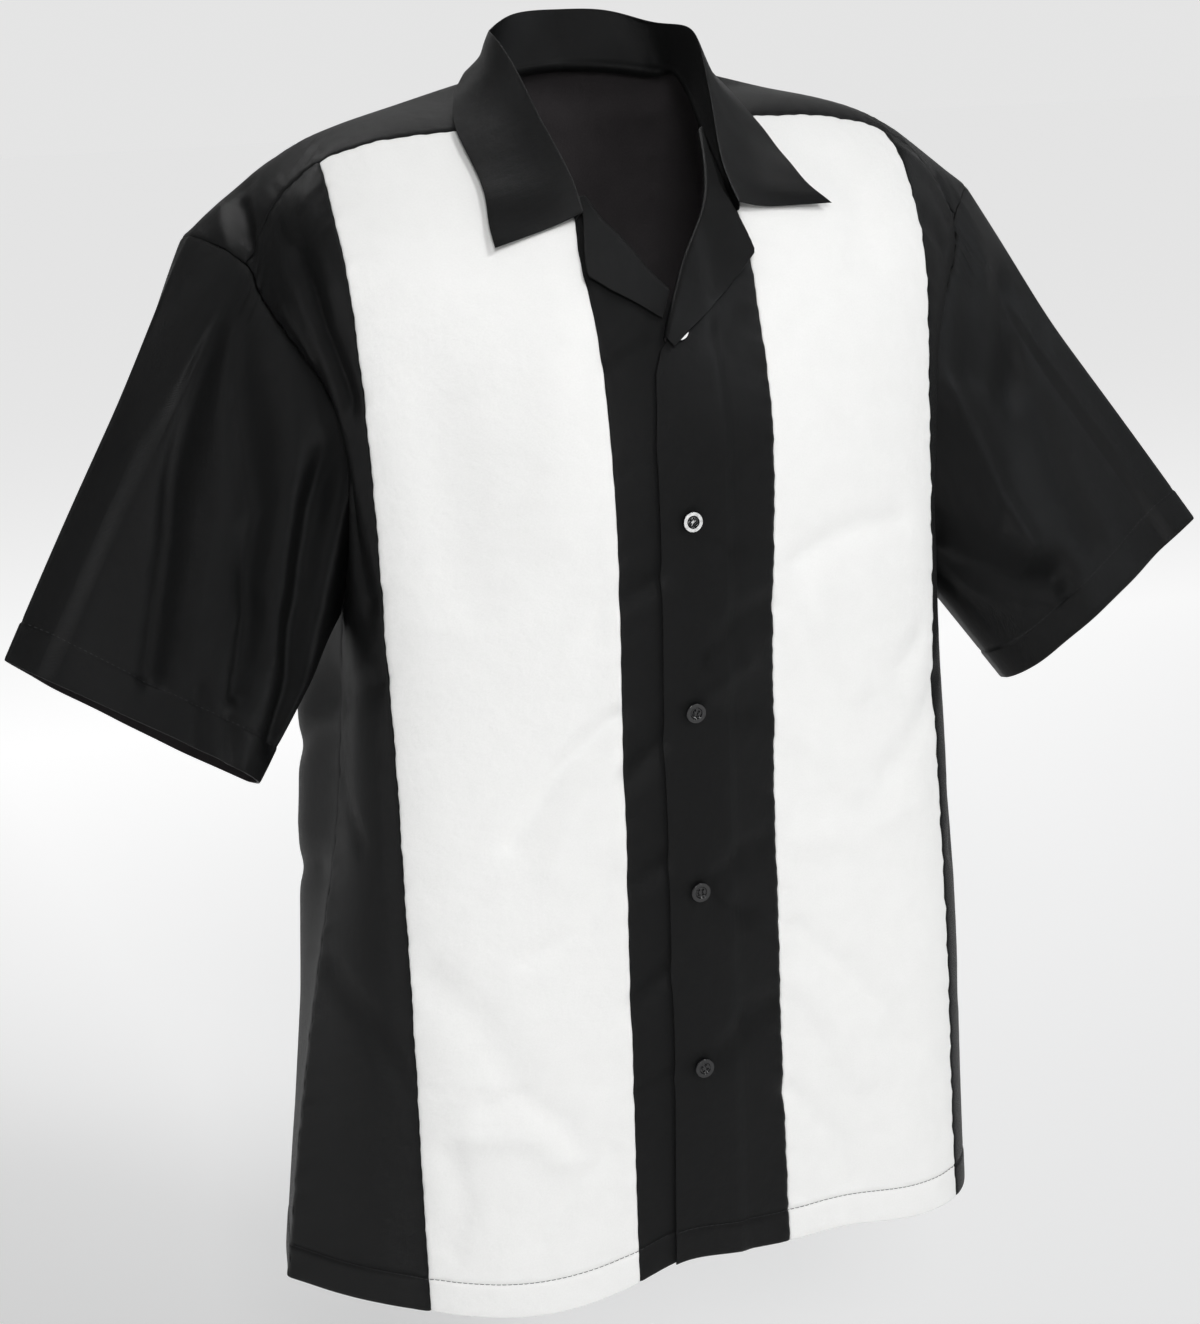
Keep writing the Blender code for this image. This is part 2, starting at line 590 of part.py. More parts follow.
def sleeve(name, side, black):
    """A sleeve from its armhole to its hem, as one tube."""
    hole, is_front = armhole(side)
    tall, top_length, under_length = sleeve_sizes()
    from_top = np.linalg.norm(hole - np.array(SLEEVE[0].top) * [side, 1, 1], axis=1)
    down = np.clip(from_top / tall, 0, 1)
    hem_share = 1 - SLEEVE_HEM / (top_length + (under_length - top_length) * down)
    body_rows = np.linspace(0, 1, 12)
    shares = np.concatenate(
        [body_rows * hem_share[:, None], (hem_share + 0.01)[:, None], np.ones((len(hole), 1))], axis=1
    )
    points = sleeve_surface(side, hole, is_front, shares)
    if side < 0:
        points = points[::-1]
    hemmed = np.arange(shares.shape[1]) > len(body_rows) - 1
    wall = np.where(hemmed, HEM_CLOTH, CLOTH)
    return cloth(name, points, black, wall=wall, closed=True, edge=SLEEVE_EDGE)


# The collar from the middle of the back to a front end, for each share of the way along the neck
# seam: the crest of its roll, and where its outer edge lies on the body, right and left.
Collar = namedtuple("Collar", "share roll right left lift")
COLLAR = (
    Collar(0.00, (0.0000, 0.0640, 0.0420), (0.0000, 0.8380), (0.0000, 0.8380), 0.006),
    Collar(0.16, (0.0330, 0.0565, 0.0395), (0.0360, 0.8390), (0.0360, 0.8390), 0.006),
    Collar(0.30, (0.0535, 0.0350, 0.0310), (0.0660, 0.8180), (0.0630, 0.8180), 0.006),
    Collar(0.48, (0.0640, -0.0020, 0.0250), (0.0880, 0.7640), (0.0780, 0.7700), 0.005),
    Collar(0.66, (0.0600, -0.0340, 0.0020), (0.1090, 0.7215), (0.0920, 0.7200), 0.005),
    Collar(0.82, (0.0535, -0.0640, -0.0320), (0.1075, 0.6900), (0.1005, 0.6970), 0.005),
    Collar(0.92, (0.0485, -0.0880, -0.0580), (0.1075, 0.6680), (0.1065, 0.6790), 0.006),
    Collar(1.00, (0.0490, -0.1075, -0.0780), (0.1060, 0.6510), (0.1155, 0.6645), 0.007),
)
COLLAR_CLOTH = 0.0016
COLLAR_FOLD = 0.0030
COLLAR_BULGE = 0.0030
NECK_CLEAR = 0.0012


def neckline(side, count):
    """Points of the neck edge, from the middle of the back to the top of a front, evenly apart."""
    across = np.linspace(0, INNER, 30)
    down = np.linspace(BACK_NECK, GORGE_RUN, 60)[1:]
    u = side * np.concatenate([across, np.full(len(down), INNER)])
    v = np.concatenate([np.full(len(across), BACK_NECK), down])
    points = on_body(u, v, np.full(len(u), NECK_CLEAR))
    length = np.concatenate([[0], np.cumsum(np.linalg.norm(np.diff(points, axis=0), axis=1))])
    even = np.linspace(0, length[-1], count)
    return np.stack([np.interp(even, length, points[:, k]) for k in range(3)], axis=1)


def collar(name, black):
    """Stand and fall in one folded piece, from one front end round the back to the other."""
    count = 19
    knots = [row.share for row in COLLAR]
    shares = np.linspace(0, 1, count)
    rows = []
    for side in (-1, 1):
        mirror = np.array([side, 1, 1])
        neck = neckline(side, count)
        roll = spline(knots, [row.roll for row in COLLAR], shares) * mirror
        on = [row.left if side > 0 else row.right for row in COLLAR]
        edge_around, edge_run = spline(knots, on, shares).T
        lift = np.interp(shares, knots, [row.lift for row in COLLAR])
        edge = on_body(side * edge_around, edge_run, lift)
        half = [collar_section(*ends) for ends in zip(neck, roll, edge)]
        rows += half[::-1] if side < 0 else half[1:]
    return cloth(name, np.array(rows), black, wall=COLLAR_CLOTH)


def collar_section(neck, roll, edge):
    """One section of the collar: up from the neck seam, over the roll and down to the edge."""
    up = (neck - roll) / np.linalg.norm(neck - roll)
    out = (edge - roll) / np.linalg.norm(edge - roll)
    crest = -(up + out) / np.linalg.norm(up + out)
    away = np.cross(np.cross(up, out), out)
    away /= -np.linalg.norm(away)
    middle = (roll + edge) / 2 + COLLAR_BULGE * away
    path = np.array(
        [
            neck,
            roll + COLLAR_FOLD * up,
            roll + 0.3 * COLLAR_FOLD * crest,
            roll + COLLAR_FOLD * out,
            middle,
            edge,
        ]
    )
    length = np.concatenate([[0], np.cumsum(np.linalg.norm(np.diff(path, axis=0), axis=1))])
    fold = length[2]
    at = np.concatenate(
        [
            np.linspace(0, fold - COLLAR_FOLD, 3)[:-1],
            np.linspace(fold - COLLAR_FOLD, fold + COLLAR_FOLD, 5),
            np.linspace(fold + COLLAR_FOLD, length[-1], 5)[1:],
        ]
    )
    return spline(length, path, at)


def button_mesh(name):
    """A turned button with a raised rim and a dished middle."""
    profile = (
        (0.0, 0.0),
        (0.78, 0.0),
        (1.0, 0.35),
        (0.97, 0.85),
        (0.86, 1.0),
        (0.66, 0.92),
        (0.52, 1 - BUTTON_DISH / BUTTON_THICKNESS),
        (0.0, 1 - BUTTON_DISH / BUTTON_THICKNESS),
    )
    sides = 20
    points = [(0, 0, 0)]
    for radius, height in profile[1:-1]:
        for k in range(sides):
            angle = 2 * pi * k / sides
            reach = BUTTON_RADIUS * radius
            points.append((reach * cos(angle), reach * sin(angle), BUTTON_THICKNESS * height))
    points.append((0, 0, BUTTON_THICKNESS * profile[-1][1]))
    faces = []
    for k in range(sides):
        after = (k + 1) % sides
        faces.append((0, 1 + after, 1 + k))
        for ring in range(len(profile) - 3):
            low = 1 + ring * sides
            faces.append((low + k, low + after, low + sides + after, low + sides + k))
        last = 1 + (len(profile) - 3) * sides
        faces.append((last + k, last + after, len(points) - 1))
    mesh = bpy.data.meshes.new(name)
    mesh.from_pydata(points, [], faces)
    return mesh


def around_at(x, run):
    """The distance round at which the front at this run reaches x."""
    arounds = np.linspace(-INNER, INNER, 61)
    return np.interp(x, body(arounds, run)[:, 0], arounds)


# Where each button stands on the wearer's left front, from the top one down.
Button = namedtuple("Button", "x run")
BUTTONS = (
    Button(-0.0045, 0.5960),
    Button(-0.0070, 0.4890),
    Button(-0.0070, 0.3730),
    Button(-0.0070, 0.2590),
    Button(-0.0070, 0.1420),
)


def button(name, mesh, x, run, material):
    """A button on the outer face of the wearer's left front."""
    around = around_at(x, run)
    heights = [0, OVERLAP_LIFT + SEAM_GAP]
    low, seat = on_body(np.array([around, around]), np.array([run, run]), heights)
    obj = piece(name, mesh, material)
    obj.rotation_mode = "QUATERNION"
    obj.rotation_quaternion = Vector((0, 0, 1)).rotation_difference(Vector(seat - low))
    obj.location = seat
    return obj


def main():
    for obj in list(bpy.data.objects):
        bpy.data.objects.remove(obj, do_unlink=True)
    black = material("black_twill", (0.012, 0.013, 0.014), 0.75)
    white = material("white_twill", (0.85, 0.85, 0.86), 0.75)
    gloss = material("black_button", (0.01, 0.01, 0.01), 0.15)
    back("back", black)
    for word, side in (("left", 1), ("right", -1)):
        panel(f"{word}_side_front", side, OUTER, EDGE, 6, black)
        panel(f"{word}_white_panel", side, INNER, OUTER, 9, white)
        centre_front(f"{word}_centre_front", side, black)
        lapel(f"{word}_lapel", side, black)
        sleeve(f"{word}_sleeve", side, black)
    collar("collar", black)
    for number, place in enumerate(BUTTONS, 1):
        button(f"button_{number}", button_mesh(f"button_{number}"), *place, gloss)


main()
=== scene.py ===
"""The looks of a short-sleeved camp-collar bowling shirt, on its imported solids.

Metres, +Z up. The shirt faces -Y, and the wearer's left is +X. The body is one smooth surface,
read from a table of sections that run from the front hem over the shoulders to the back hem. Each
sewn piece is a thin wall of cloth cut from it along the seams, with the worn cloth's folds.
"""

import json
from collections import namedtuple
from math import cos, pi, radians, sin

import bpy
import numpy as np
from mathutils import Matrix, Vector

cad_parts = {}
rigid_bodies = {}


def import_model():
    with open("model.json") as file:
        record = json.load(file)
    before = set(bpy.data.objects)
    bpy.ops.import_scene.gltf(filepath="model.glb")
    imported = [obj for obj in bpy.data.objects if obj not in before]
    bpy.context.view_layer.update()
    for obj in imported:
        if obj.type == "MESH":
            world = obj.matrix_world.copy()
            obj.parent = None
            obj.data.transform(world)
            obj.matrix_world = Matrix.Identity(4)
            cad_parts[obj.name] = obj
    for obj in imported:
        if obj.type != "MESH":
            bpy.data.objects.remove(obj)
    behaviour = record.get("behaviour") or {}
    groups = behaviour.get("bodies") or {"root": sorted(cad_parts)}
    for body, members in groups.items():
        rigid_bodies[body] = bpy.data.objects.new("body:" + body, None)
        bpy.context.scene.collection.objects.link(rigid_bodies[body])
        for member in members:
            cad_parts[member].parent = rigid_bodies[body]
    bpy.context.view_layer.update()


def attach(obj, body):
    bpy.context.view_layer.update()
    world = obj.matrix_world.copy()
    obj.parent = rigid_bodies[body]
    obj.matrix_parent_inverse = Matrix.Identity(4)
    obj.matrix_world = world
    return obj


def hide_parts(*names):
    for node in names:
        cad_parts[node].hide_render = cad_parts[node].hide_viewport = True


CLOTH = 0.0012
FRONT_EDGE_CLOTH = 0.0018
SEAM_GAP = 0.0003
BODY_HEM = 0.022
SLEEVE_HEM = 0.025
OVERLAP_GAP = 0.0009
OVERLAP_LIFT = FRONT_EDGE_CLOTH + OVERLAP_GAP
OVERLAP_FADE = 0.014
BUTTON_RADIUS = 0.0064
BUTTON_THICKNESS = 0.0026


def in_mm(row_type, *rows):
    """A table whose rows are written in millimetres, in metres."""
    return [row_type(*(np.array(value) / 1000 for value in row)) for row in rows]


def placed(name, data):
    """A new object in the scene."""
    obj = bpy.data.objects.new(name, data)
    bpy.context.scene.collection.objects.link(obj)
    return obj


def lengths_along(points):
    """How far along a line each of its points lies."""
    return np.append(0, np.cumsum(np.linalg.norm(np.diff(points, axis=0), axis=1)))


def read_along(at, length, points):
    """The points of a line at these distances along it."""
    return np.stack([np.interp(at, length, points[:, k]) for k in range(3)], axis=1)


# Sections of the half body, from the front hem over the shoulder to the back hem. `run` is the
# distance along the cloth. Each section is known at four seams: the centre line, the inner and
# outer edge of the front panel (the neck and the blade at the back), and the side or armhole.
# `flare` is how much farther out the wearer's right side seam stands than the left one, and
# `belly` is how far the back stands out between its blade and the side seam.
Section = namedtuple("Section", "run centre inner outer edge flare belly")
SECTIONS = in_mm(
    Section,
    (0, (0, -127, -745), (52, -124.5, -745), (184, -103, -745), (216, -22, -745), 41.5, 0),
    (95, (0, -131, -650), (51, -126, -650), (183, -101, -650), (215, -20, -650), 27.5, 0),
    (170, (0, -133, -575), (50, -127.5, -575), (182, -101, -575), (213, -22, -575), 16, 0),
    (225, (0, -136, -520), (50, -129, -520), (181, -99, -520), (210, -27, -520), 9, 0),
    (285, (0, -139, -460), (49, -131, -460), (180, -96, -460), (206, -30, -460), 1, 0),
    (360, (0, -142, -385), (49, -133.5, -385), (179, -93, -385), (197, -30, -385), 0, 0),
    (433, (0, -147, -312), (49, -139.5, -312), (180, -92, -312), (188, -22, -312), 0, 0),
    (495, (0, -150, -250), (50, -144, -250), (180, -92, -250), (184, -57, -248), 0, 0),
    (555, (0, -147, -190), (51, -141, -190), (181, -90, -190), (188, -63, -190), 0, 0),
    (605, (0, -129, -140), (51, -127, -140), (182.5, -87, -140), (208, -55, -150), 0, 0),
    (650, (0, -107, -98), (52.5, -108.5, -100), (183.5, -77, -98), (222, -46, -126), 0, 0),
    (690, (0, -88, -68), (49.5, -87, -67), (184, -55, -66), (228, -38, -110), 0, 0),
    (723, (0, -50, -35), (51.5, -44, -31), (183, -29, -42), (232, -31, -98), 0, 0),
    (770, (0, 0, -10), (61, 3, -8), (186, 18, -32), (258, 5, -81), 0, 0),
    (820, (0, 58.5, 9), (59, 37, 1), (187, 62, -56), (250, 40, -105), 0, 0),
    (871, (0, 92, -45), (66, 82, -55), (186, 86, -100), (232, 60, -145), 0, 0),
    (932, (0, 114, -120), (70, 108, -125), (183, 98, -160), (212, 66, -200), 0, 0),
    (997, (0, 126, -205), (73, 121, -210), (182, 103, -228), (194, 48, -265), 0, 0),
    (1084, (0, 128, -312), (75, 124, -312), (182, 98, -312), (188, -22, -312), 0, 0),
    (1157, (0, 122, -385), (75, 119, -385), (184, 90, -385), (197, -30, -385), 0, 13),
    (1232, (0, 118, -460), (75, 116, -460), (184, 88, -460), (206, -30, -460), 1, 15),
    (1292, (0, 116, -520), (76, 115, -520), (185, 88, -520), (210, -27, -520), 9, 10),
    (1347, (0, 116, -575), (77, 115, -575), (187, 88, -575), (213, -22, -575), 16, 6),
    (1422, (0, 117, -650), (78, 115, -650), (191, 88, -650), (215, -20, -650), 27.5, 3),
    (1517, (0, 119, -745), (80, 116, -745), (196, 88, -745), (216, -22, -745), 41.5, 2),
)
FRONT_UNDERARM = 0.433
SHOULDER_SEAM = 0.723
RIDGE = 0.770
BACK_NECK = 0.820
BACK_UNDERARM = 1.084
BACK_HEM = 1.517
# Where the four known columns of a section lie, as distances round the half body.
INNER, OUTER, EDGE = 0.060, 0.190, 0.290
COLUMNS = (-EDGE, -OUTER, -INNER, 0.0, INNER, OUTER, EDGE)
BACK_SIDE_SHARE = 0.5
# How much the front hem hangs below (or is caught up above) the level of the side seams.
HemWave = namedtuple("HemWave", "around drop")
HEM_WAVE = (
    HemWave(-0.29, 0.000),
    HemWave(-0.25, 0.000),
    HemWave(-0.19, 0.001),
    HemWave(-0.135, 0.009),
    HemWave(-0.06, 0.000),
    HemWave(-0.03, -0.0095),
    HemWave(0.00, -0.010),
    HemWave(0.06, -0.006),
    HemWave(0.10, -0.007),
    HemWave(0.14, -0.001),
    HemWave(0.19, 0.000),
    HemWave(0.29, 0.000),
)
HEM_WAVE_REACH = 0.14
# Soft folds of the worn cloth. `path` is the line a fold runs along, in distances round and along
# the cloth, `depth` is how far its middle sinks (below 0, how far it rises), and `width` is how
# far to each side it reaches.
Fold = namedtuple("Fold", "path depth width")
BODY_FOLDS = (
    Fold(((-0.228, 0.662), (-0.224, 0.612), (-0.208, 0.572)), 0.0060, 0.012),
    Fold(((-0.206, 0.700), (-0.204, 0.640)), -0.0025, 0.012),
    Fold(((-0.240, 0.762), (-0.268, 0.734)), 0.0035, 0.011),
    Fold(((0.200, 0.702), (0.235, 0.698), (0.262, 0.684)), -0.0030, 0.011),
    Fold(((0.205, 0.655), (0.235, 0.640)), 0.0035, 0.014),
    Fold(((-0.262, 0.940), (-0.215, 1.010), (-0.190, 1.110)), 0.0055, 0.018),
    Fold(((0.258, 0.960), (0.225, 1.020), (0.205, 1.090)), 0.0045, 0.020),
    Fold(((-0.150, 1.210), (-0.170, 1.330), (-0.150, 1.470)), 0.0050, 0.026),
    Fold(((0.110, 1.260), (0.135, 1.360), (0.130, 1.490)), 0.0040, 0.030),
)


# Smaller folds and creases of the cloth, in the same terms.
BODY_CREASES = (
    # The wearer's right white panel.
    Fold(((-0.063, 0.372), (-0.095, 0.344), (-0.122, 0.300)), 0.0030, 0.0070),
    Fold(((-0.065, 0.344), (-0.086, 0.318), (-0.104, 0.283)), -0.0018, 0.0080),
    Fold(((-0.070, 0.272), (-0.086, 0.242), (-0.117, 0.226)), 0.0016, 0.0080),
    Fold(((-0.176, 0.218), (-0.151, 0.192), (-0.130, 0.150)), 0.0024, 0.0140),
    Fold(((-0.146, 0.134), (-0.126, 0.136), (-0.105, 0.118), (-0.100, 0.102)), 0.0020, 0.0070),
    Fold(((-0.156, 0.114), (-0.124, 0.114), (-0.106, 0.096)), -0.0020, 0.0080),
    Fold(((-0.183, 0.1475), (-0.126, 0.1395), (-0.063, 0.1370)), 0.0006, 0.0016),
    Fold(((-0.077, 0.092), (-0.099, 0.076), (-0.122, 0.048)), 0.0018, 0.0080),
    Fold(((-0.171, 0.102), (-0.164, 0.070), (-0.175, 0.044)), 0.0016, 0.0090),
    Fold(((-0.080, 0.632), (-0.084, 0.558), (-0.089, 0.490)), -0.0015, 0.0180),
    Fold(((-0.146, 0.578), (-0.141, 0.510), (-0.138, 0.452)), 0.0018, 0.0180),
    Fold(((-0.069, 0.440), (-0.077, 0.422)), 0.0014, 0.0060),
    # The wearer's left white panel.
    Fold(((0.133, 0.690), (0.141, 0.660), (0.131, 0.632)), 0.0026, 0.0140),
    Fold(((0.078, 0.456), (0.111, 0.468), (0.149, 0.468)), 0.0022, 0.0090),
    Fold(((0.086, 0.430), (0.102, 0.394), (0.119, 0.366)), -0.0020, 0.0080),
    Fold(((0.150, 0.372), (0.169, 0.388)), 0.0018, 0.0100),
    Fold(((0.066, 0.356), (0.092, 0.332), (0.115, 0.302)), -0.0020, 0.0080),
    Fold(((0.140, 0.308), (0.167, 0.330), (0.192, 0.358)), 0.0016, 0.0100),
    Fold(((0.077, 0.278), (0.117, 0.272), (0.164, 0.284)), -0.0014, 0.0100),
    Fold(((0.073, 0.218), (0.104, 0.184), (0.133, 0.150), (0.143, 0.122)), 0.0026, 0.0080),
    Fold(((0.074, 0.184), (0.099, 0.144), (0.111, 0.106)), -0.0020, 0.0080),
    Fold(((0.064, 0.110), (0.096, 0.064), (0.098, 0.034)), 0.0018, 0.0080),
    # Pulled from the buttons across the centre fronts.
    Fold(((0.004, 0.404), (0.028, 0.422), (0.054, 0.430)), 0.0022, 0.0090),
    Fold(((0.004, 0.386), (0.040, 0.398)), -0.0014, 0.0080),
    Fold(((0.004, 0.370), (0.040, 0.366)), 0.0014, 0.0080),
    Fold(((0.004, 0.263), (0.030, 0.276), (0.052, 0.280)), 0.0022, 0.0080),
    Fold(((0.006, 0.252), (0.036, 0.236)), 0.0018, 0.0070),
    Fold(((0.006, 0.146), (0.032, 0.166), (0.053, 0.172)), 0.0020, 0.0090),
    Fold(((0.002, 0.478), (0.034, 0.468)), 0.0014, 0.0080),
    Fold(((0.000, 0.500), (0.040, 0.520)), 0.0008, 0.0100),
    Fold(((-0.056, 0.446), (-0.036, 0.456)), 0.0022, 0.0070),
    Fold(((-0.058, 0.334), (-0.036, 0.356)), 0.0022, 0.0080),
    Fold(((-0.056, 0.268), (-0.036, 0.278)), 0.0018, 0.0070),
    Fold(((-0.057, 0.186), (-0.035, 0.208)), 0.0020, 0.0080),
    Fold(((-0.055, 0.131), (-0.037, 0.137)), 0.0012, 0.0060),
    Fold(((-0.060, 0.588), (-0.025, 0.602)), 0.0018, 0.0080),
    Fold(((0.045, 0.604), (0.024, 0.592)), 0.0010, 0.0080),
    # Round the armholes and over the shoulders.
    Fold(((-0.240, 0.700), (-0.232, 0.672)), 0.0014, 0.0050),
    Fold(((-0.252, 0.752), (-0.280, 0.722)), 0.0022, 0.0050),
    Fold(((-0.262, 0.762), (-0.288, 0.740)), -0.0014, 0.0050),
    Fold(((-0.275, 0.640), (-0.262, 0.600)), -0.0012, 0.0080),
    Fold(((-0.272, 0.560), (-0.235, 0.520), (-0.205, 0.450)), 0.0024, 0.0120),
    Fold(((0.270, 0.560), (0.235, 0.520), (0.205, 0.460)), 0.0024, 0.0120),
    Fold(((0.262, 0.732), (0.286, 0.716)), 0.0020, 0.0050),
    Fold(((0.240, 0.700), (0.280, 0.690)), 0.0016, 0.0060),
    # The side fronts and the back.
    Fold(((-0.200, 0.400), (-0.240, 0.392), (-0.270, 0.380)), 0.0014, 0.0090),
    Fold(((-0.275, 0.330), (-0.235, 0.300)), 0.0010, 0.0100),
    Fold(((-0.270, 0.210), (-0.225, 0.190), (-0.200, 0.150)), 0.0012, 0.0110),
    Fold(((0.275, 0.350), (0.235, 0.310), (0.215, 0.240)), 0.0020, 0.0110),
    Fold(((0.270, 0.180), (0.230, 0.140)), 0.0016, 0.0100),
    Fold(((-0.285, 1.130), (-0.240, 1.180), (-0.160, 1.210)), 0.0024, 0.0100),
    Fold(((-0.270, 1.250), (-0.220, 1.270)), 0.0020, 0.0090),
    Fold(((0.285, 1.120), (0.240, 1.160), (0.180, 1.180)), 0.0026, 0.0100),
    Fold(((0.275, 1.240), (0.225, 1.280), (0.170, 1.290)), 0.0020, 0.0110),
    Fold(((-0.060, 1.150), (-0.030, 1.260), (-0.045, 1.400)), 0.0026, 0.0180),
    Fold(((0.030, 1.200), (0.050, 1.320), (0.035, 1.500)), 0.0024, 0.0160),
    Fold(((-0.110, 1.000), (-0.060, 1.030), (0.010, 1.035)), 0.0016, 0.0120),
    Fold(((0.090, 0.990), (0.140, 1.020), (0.200, 1.060)), 0.0018, 0.0110),
    Fold(((-0.210, 1.380), (-0.190, 1.450), (-0.200, 1.517)), 0.0026, 0.0140),
    Fold(((0.200, 1.400), (0.215, 1.470), (0.210, 1.517)), 0.0024, 0.0130),
    Fold(((-0.040, 0.850), (0.010, 0.858), (0.060, 0.848)), 0.0010, 0.0070),
)

# Seams that pucker the cloth beside them: the distance round at which each one lies.
SEAMS = (-EDGE, -OUTER, -INNER, INNER, OUTER, EDGE)
CREASE_DEPTH = 1.3
PUCKER = 0.0007
PUCKER_REACH = 0.011
PUCKER_SLANT = 0.5
SHOULDER_PUCKER = 0.8
RIPPLES = (0.041, 0.023, 0.0163, 0.0107)
# How far apart two points are taken for the direction of a surface, and how far past the hems
# its seam lines can be read, so that the direction is known right up to a hem.
DIRECTION_STEP = 0.002
BEYOND = 1.0


def uneven(at, seed):
    """An uneven ripple between about -1 and 1 along a line."""
    total = np.zeros_like(at)
    for k, wave in enumerate(RIPPLES):
        total += sin(5 * seed + 2 * k + 1) * np.sin(2 * pi * at / wave + 2.4 * seed * (k + 1))
    return total / 2


def puckers(arounds, runs):
    """How far the cloth is drawn in and out beside the long seams and the shoulder seam."""
    total = np.zeros(arounds.shape)
    for k, seam in enumerate(SEAMS):
        apart = arounds - seam
        near = np.exp(-np.abs(apart) / PUCKER_REACH)
        slant = runs + PUCKER_SLANT * apart * np.sign(seam)
        total += near * uneven(slant, k + 1.0)
    at_shoulder = np.exp(-np.abs(runs - SHOULDER_SEAM) / PUCKER_REACH)
    return PUCKER * (total + SHOULDER_PUCKER * at_shoulder * uneven(arounds, 9.0))


def spline(knots, values, at):
    """Reads the natural cubic spline through `values` at the positions `at`."""
    knots, values, at = (np.asarray(x, float) for x in (knots, values, at))
    gaps = np.diff(knots)
    slopes = np.diff(values, axis=0) / gaps[:, None]
    count = len(knots)
    system = np.eye(count)
    target = np.zeros_like(values)
    for i in range(1, count - 1):
        system[i, i - 1 : i + 2] = gaps[i - 1], 2 * (gaps[i - 1] + gaps[i]), gaps[i]
        target[i] = 6 * (slopes[i] - slopes[i - 1])
    bends = np.linalg.solve(system, target)
    i = np.clip(np.searchsorted(knots, at) - 1, 0, count - 2)
    gap, low, high = gaps[i][:, None], (knots[i + 1] - at)[:, None], (at - knots[i])[:, None]
    return (
        (bends[i] * low**3 + bends[i + 1] * high**3) / (6 * gap)
        + (values[i] / gap - bends[i] * gap / 6) * low
        + (values[i + 1] / gap - bends[i + 1] * gap / 6) * high
    )


def smooth(x, low, high):
    """0 below `low`, 1 above `high`, and an even S between them."""
    t = np.clip((np.asarray(x, float) - low) / (high - low), 0, 1)
    return t * t * (3 - 2 * t)


def column(name, side, runs):
    """The points of one seam column at these runs, on the wearer's left (1) or right (-1)."""
    knots = np.array([s.run for s in SECTIONS])
    points = np.array([getattr(s, name) for s in SECTIONS], float)
    flare = np.array([s.flare for s in SECTIONS]) if side < 0 else np.zeros(len(knots))
    if name == "edge":
        points[:, 0] += flare
    if name == "outer":
        points[:, 0] += np.where(knots > BACK_UNDERARM, BACK_SIDE_SHARE * flare, 0)
    points[:, 0] *= side
    if name != "edge":
        return spline(knots, points, runs)
    # The side seams and the armhole meet in a corner at the underarm.
    out = np.empty((len(runs), 3))
    corners = (-BEYOND, FRONT_UNDERARM, BACK_UNDERARM, BACK_HEM + BEYOND)
    for low, high in zip(corners[:-1], corners[1:]):
        own = (knots >= low) & (knots <= high)
        wanted = (runs >= low) & (runs <= high)
        out[wanted] = spline(knots[own], points[own], runs[wanted])
    return out


def sunk(at, folds):
    """How far soft folds sink the cloth at these points of its own plane."""
    total = np.zeros(at.shape[:-1])
    for path, depth, width in folds:
        nearest = np.full(total.shape, np.inf)
        for start, end in zip(np.array(path[:-1]), np.array(path[1:])):
            step = end - start
            share = np.clip((at - start) @ step / (step @ step), 0, 1)
            apart = np.linalg.norm(at - start - share[..., None] * step, axis=-1)
            nearest = np.minimum(nearest, apart)
        total += depth * np.exp(-((nearest / width) ** 2))
    return total


def unfolded_body(arounds, runs):
    """The body without its folds, at pairs of distance round and distance along the cloth."""
    arounds, runs = np.broadcast_arrays(np.asarray(arounds, float), np.asarray(runs, float))
    flat_runs, where = np.unique(runs.ravel(), return_inverse=True)
    net = np.stack(
        [column(name, -1, flat_runs) for name in ("edge", "outer", "inner")]
        + [column("centre", 1, flat_runs)]
        + [column(name, 1, flat_runs) for name in ("inner", "outer", "edge")]
    )
    flat = arounds.ravel()
    out = np.empty((len(flat), 3))
    for k in range(len(flat_runs)):
        own = where == k
        out[own] = spline(COLUMNS, net[:, k], flat[own])
    side_share = np.clip((np.abs(flat) - OUTER) / (EDGE - OUTER), 0, 1)
    belly = np.interp(runs.ravel(), [s.run for s in SECTIONS], [s.belly for s in SECTIONS])
    out[:, 0] += np.sign(flat) * belly * np.sin(pi * side_share) ** 2
    wave_at, wave = np.array(HEM_WAVE).T
    wave = spline(wave_at, wave[:, None], flat)[:, 0]
    out[:, 2] -= wave * (1 - smooth(runs.ravel(), 0, HEM_WAVE_REACH))
    return out.reshape(arounds.shape + (3,))


def raised(surface, arounds, runs, lift):
    """Points that stand `lift` off a surface."""
    points = surface(arounds, runs)
    across = surface(arounds + DIRECTION_STEP, runs) - points
    normal = np.cross(across, surface(arounds, runs + DIRECTION_STEP) - points)
    normal /= np.linalg.norm(normal, axis=-1, keepdims=True)
    return points + normal * np.asarray(lift, float)[..., None]


def body(arounds, runs):
    """The outer face of the body, folds and all."""
    arounds, runs = np.broadcast_arrays(np.asarray(arounds, float), np.asarray(runs, float))
    creases = CREASE_DEPTH * sunk(np.stack([arounds, runs], axis=-1), BODY_CREASES)
    return raised(calm_body, arounds, runs, -creases - puckers(arounds, runs))


def calm_body(arounds, runs):
    """The body with its larger folds, and without its creases and puckers."""
    arounds, runs = np.broadcast_arrays(np.asarray(arounds, float), runs)
    fold = sunk(np.stack([arounds, runs], axis=-1), BODY_FOLDS)
    return raised(unfolded_body, arounds, runs, -fold)


def on_body(arounds, runs, lift):
    """Points that stand `lift` off the outer face of the body."""
    return raised(body, arounds, runs, lift)


def over_body(arounds, runs, lift):
    """Points at a height over the calm body surface."""
    arounds, runs, lift = np.broadcast_arrays(np.asarray(arounds, float), runs, lift)
    return raised(calm_body, arounds, runs, lift)


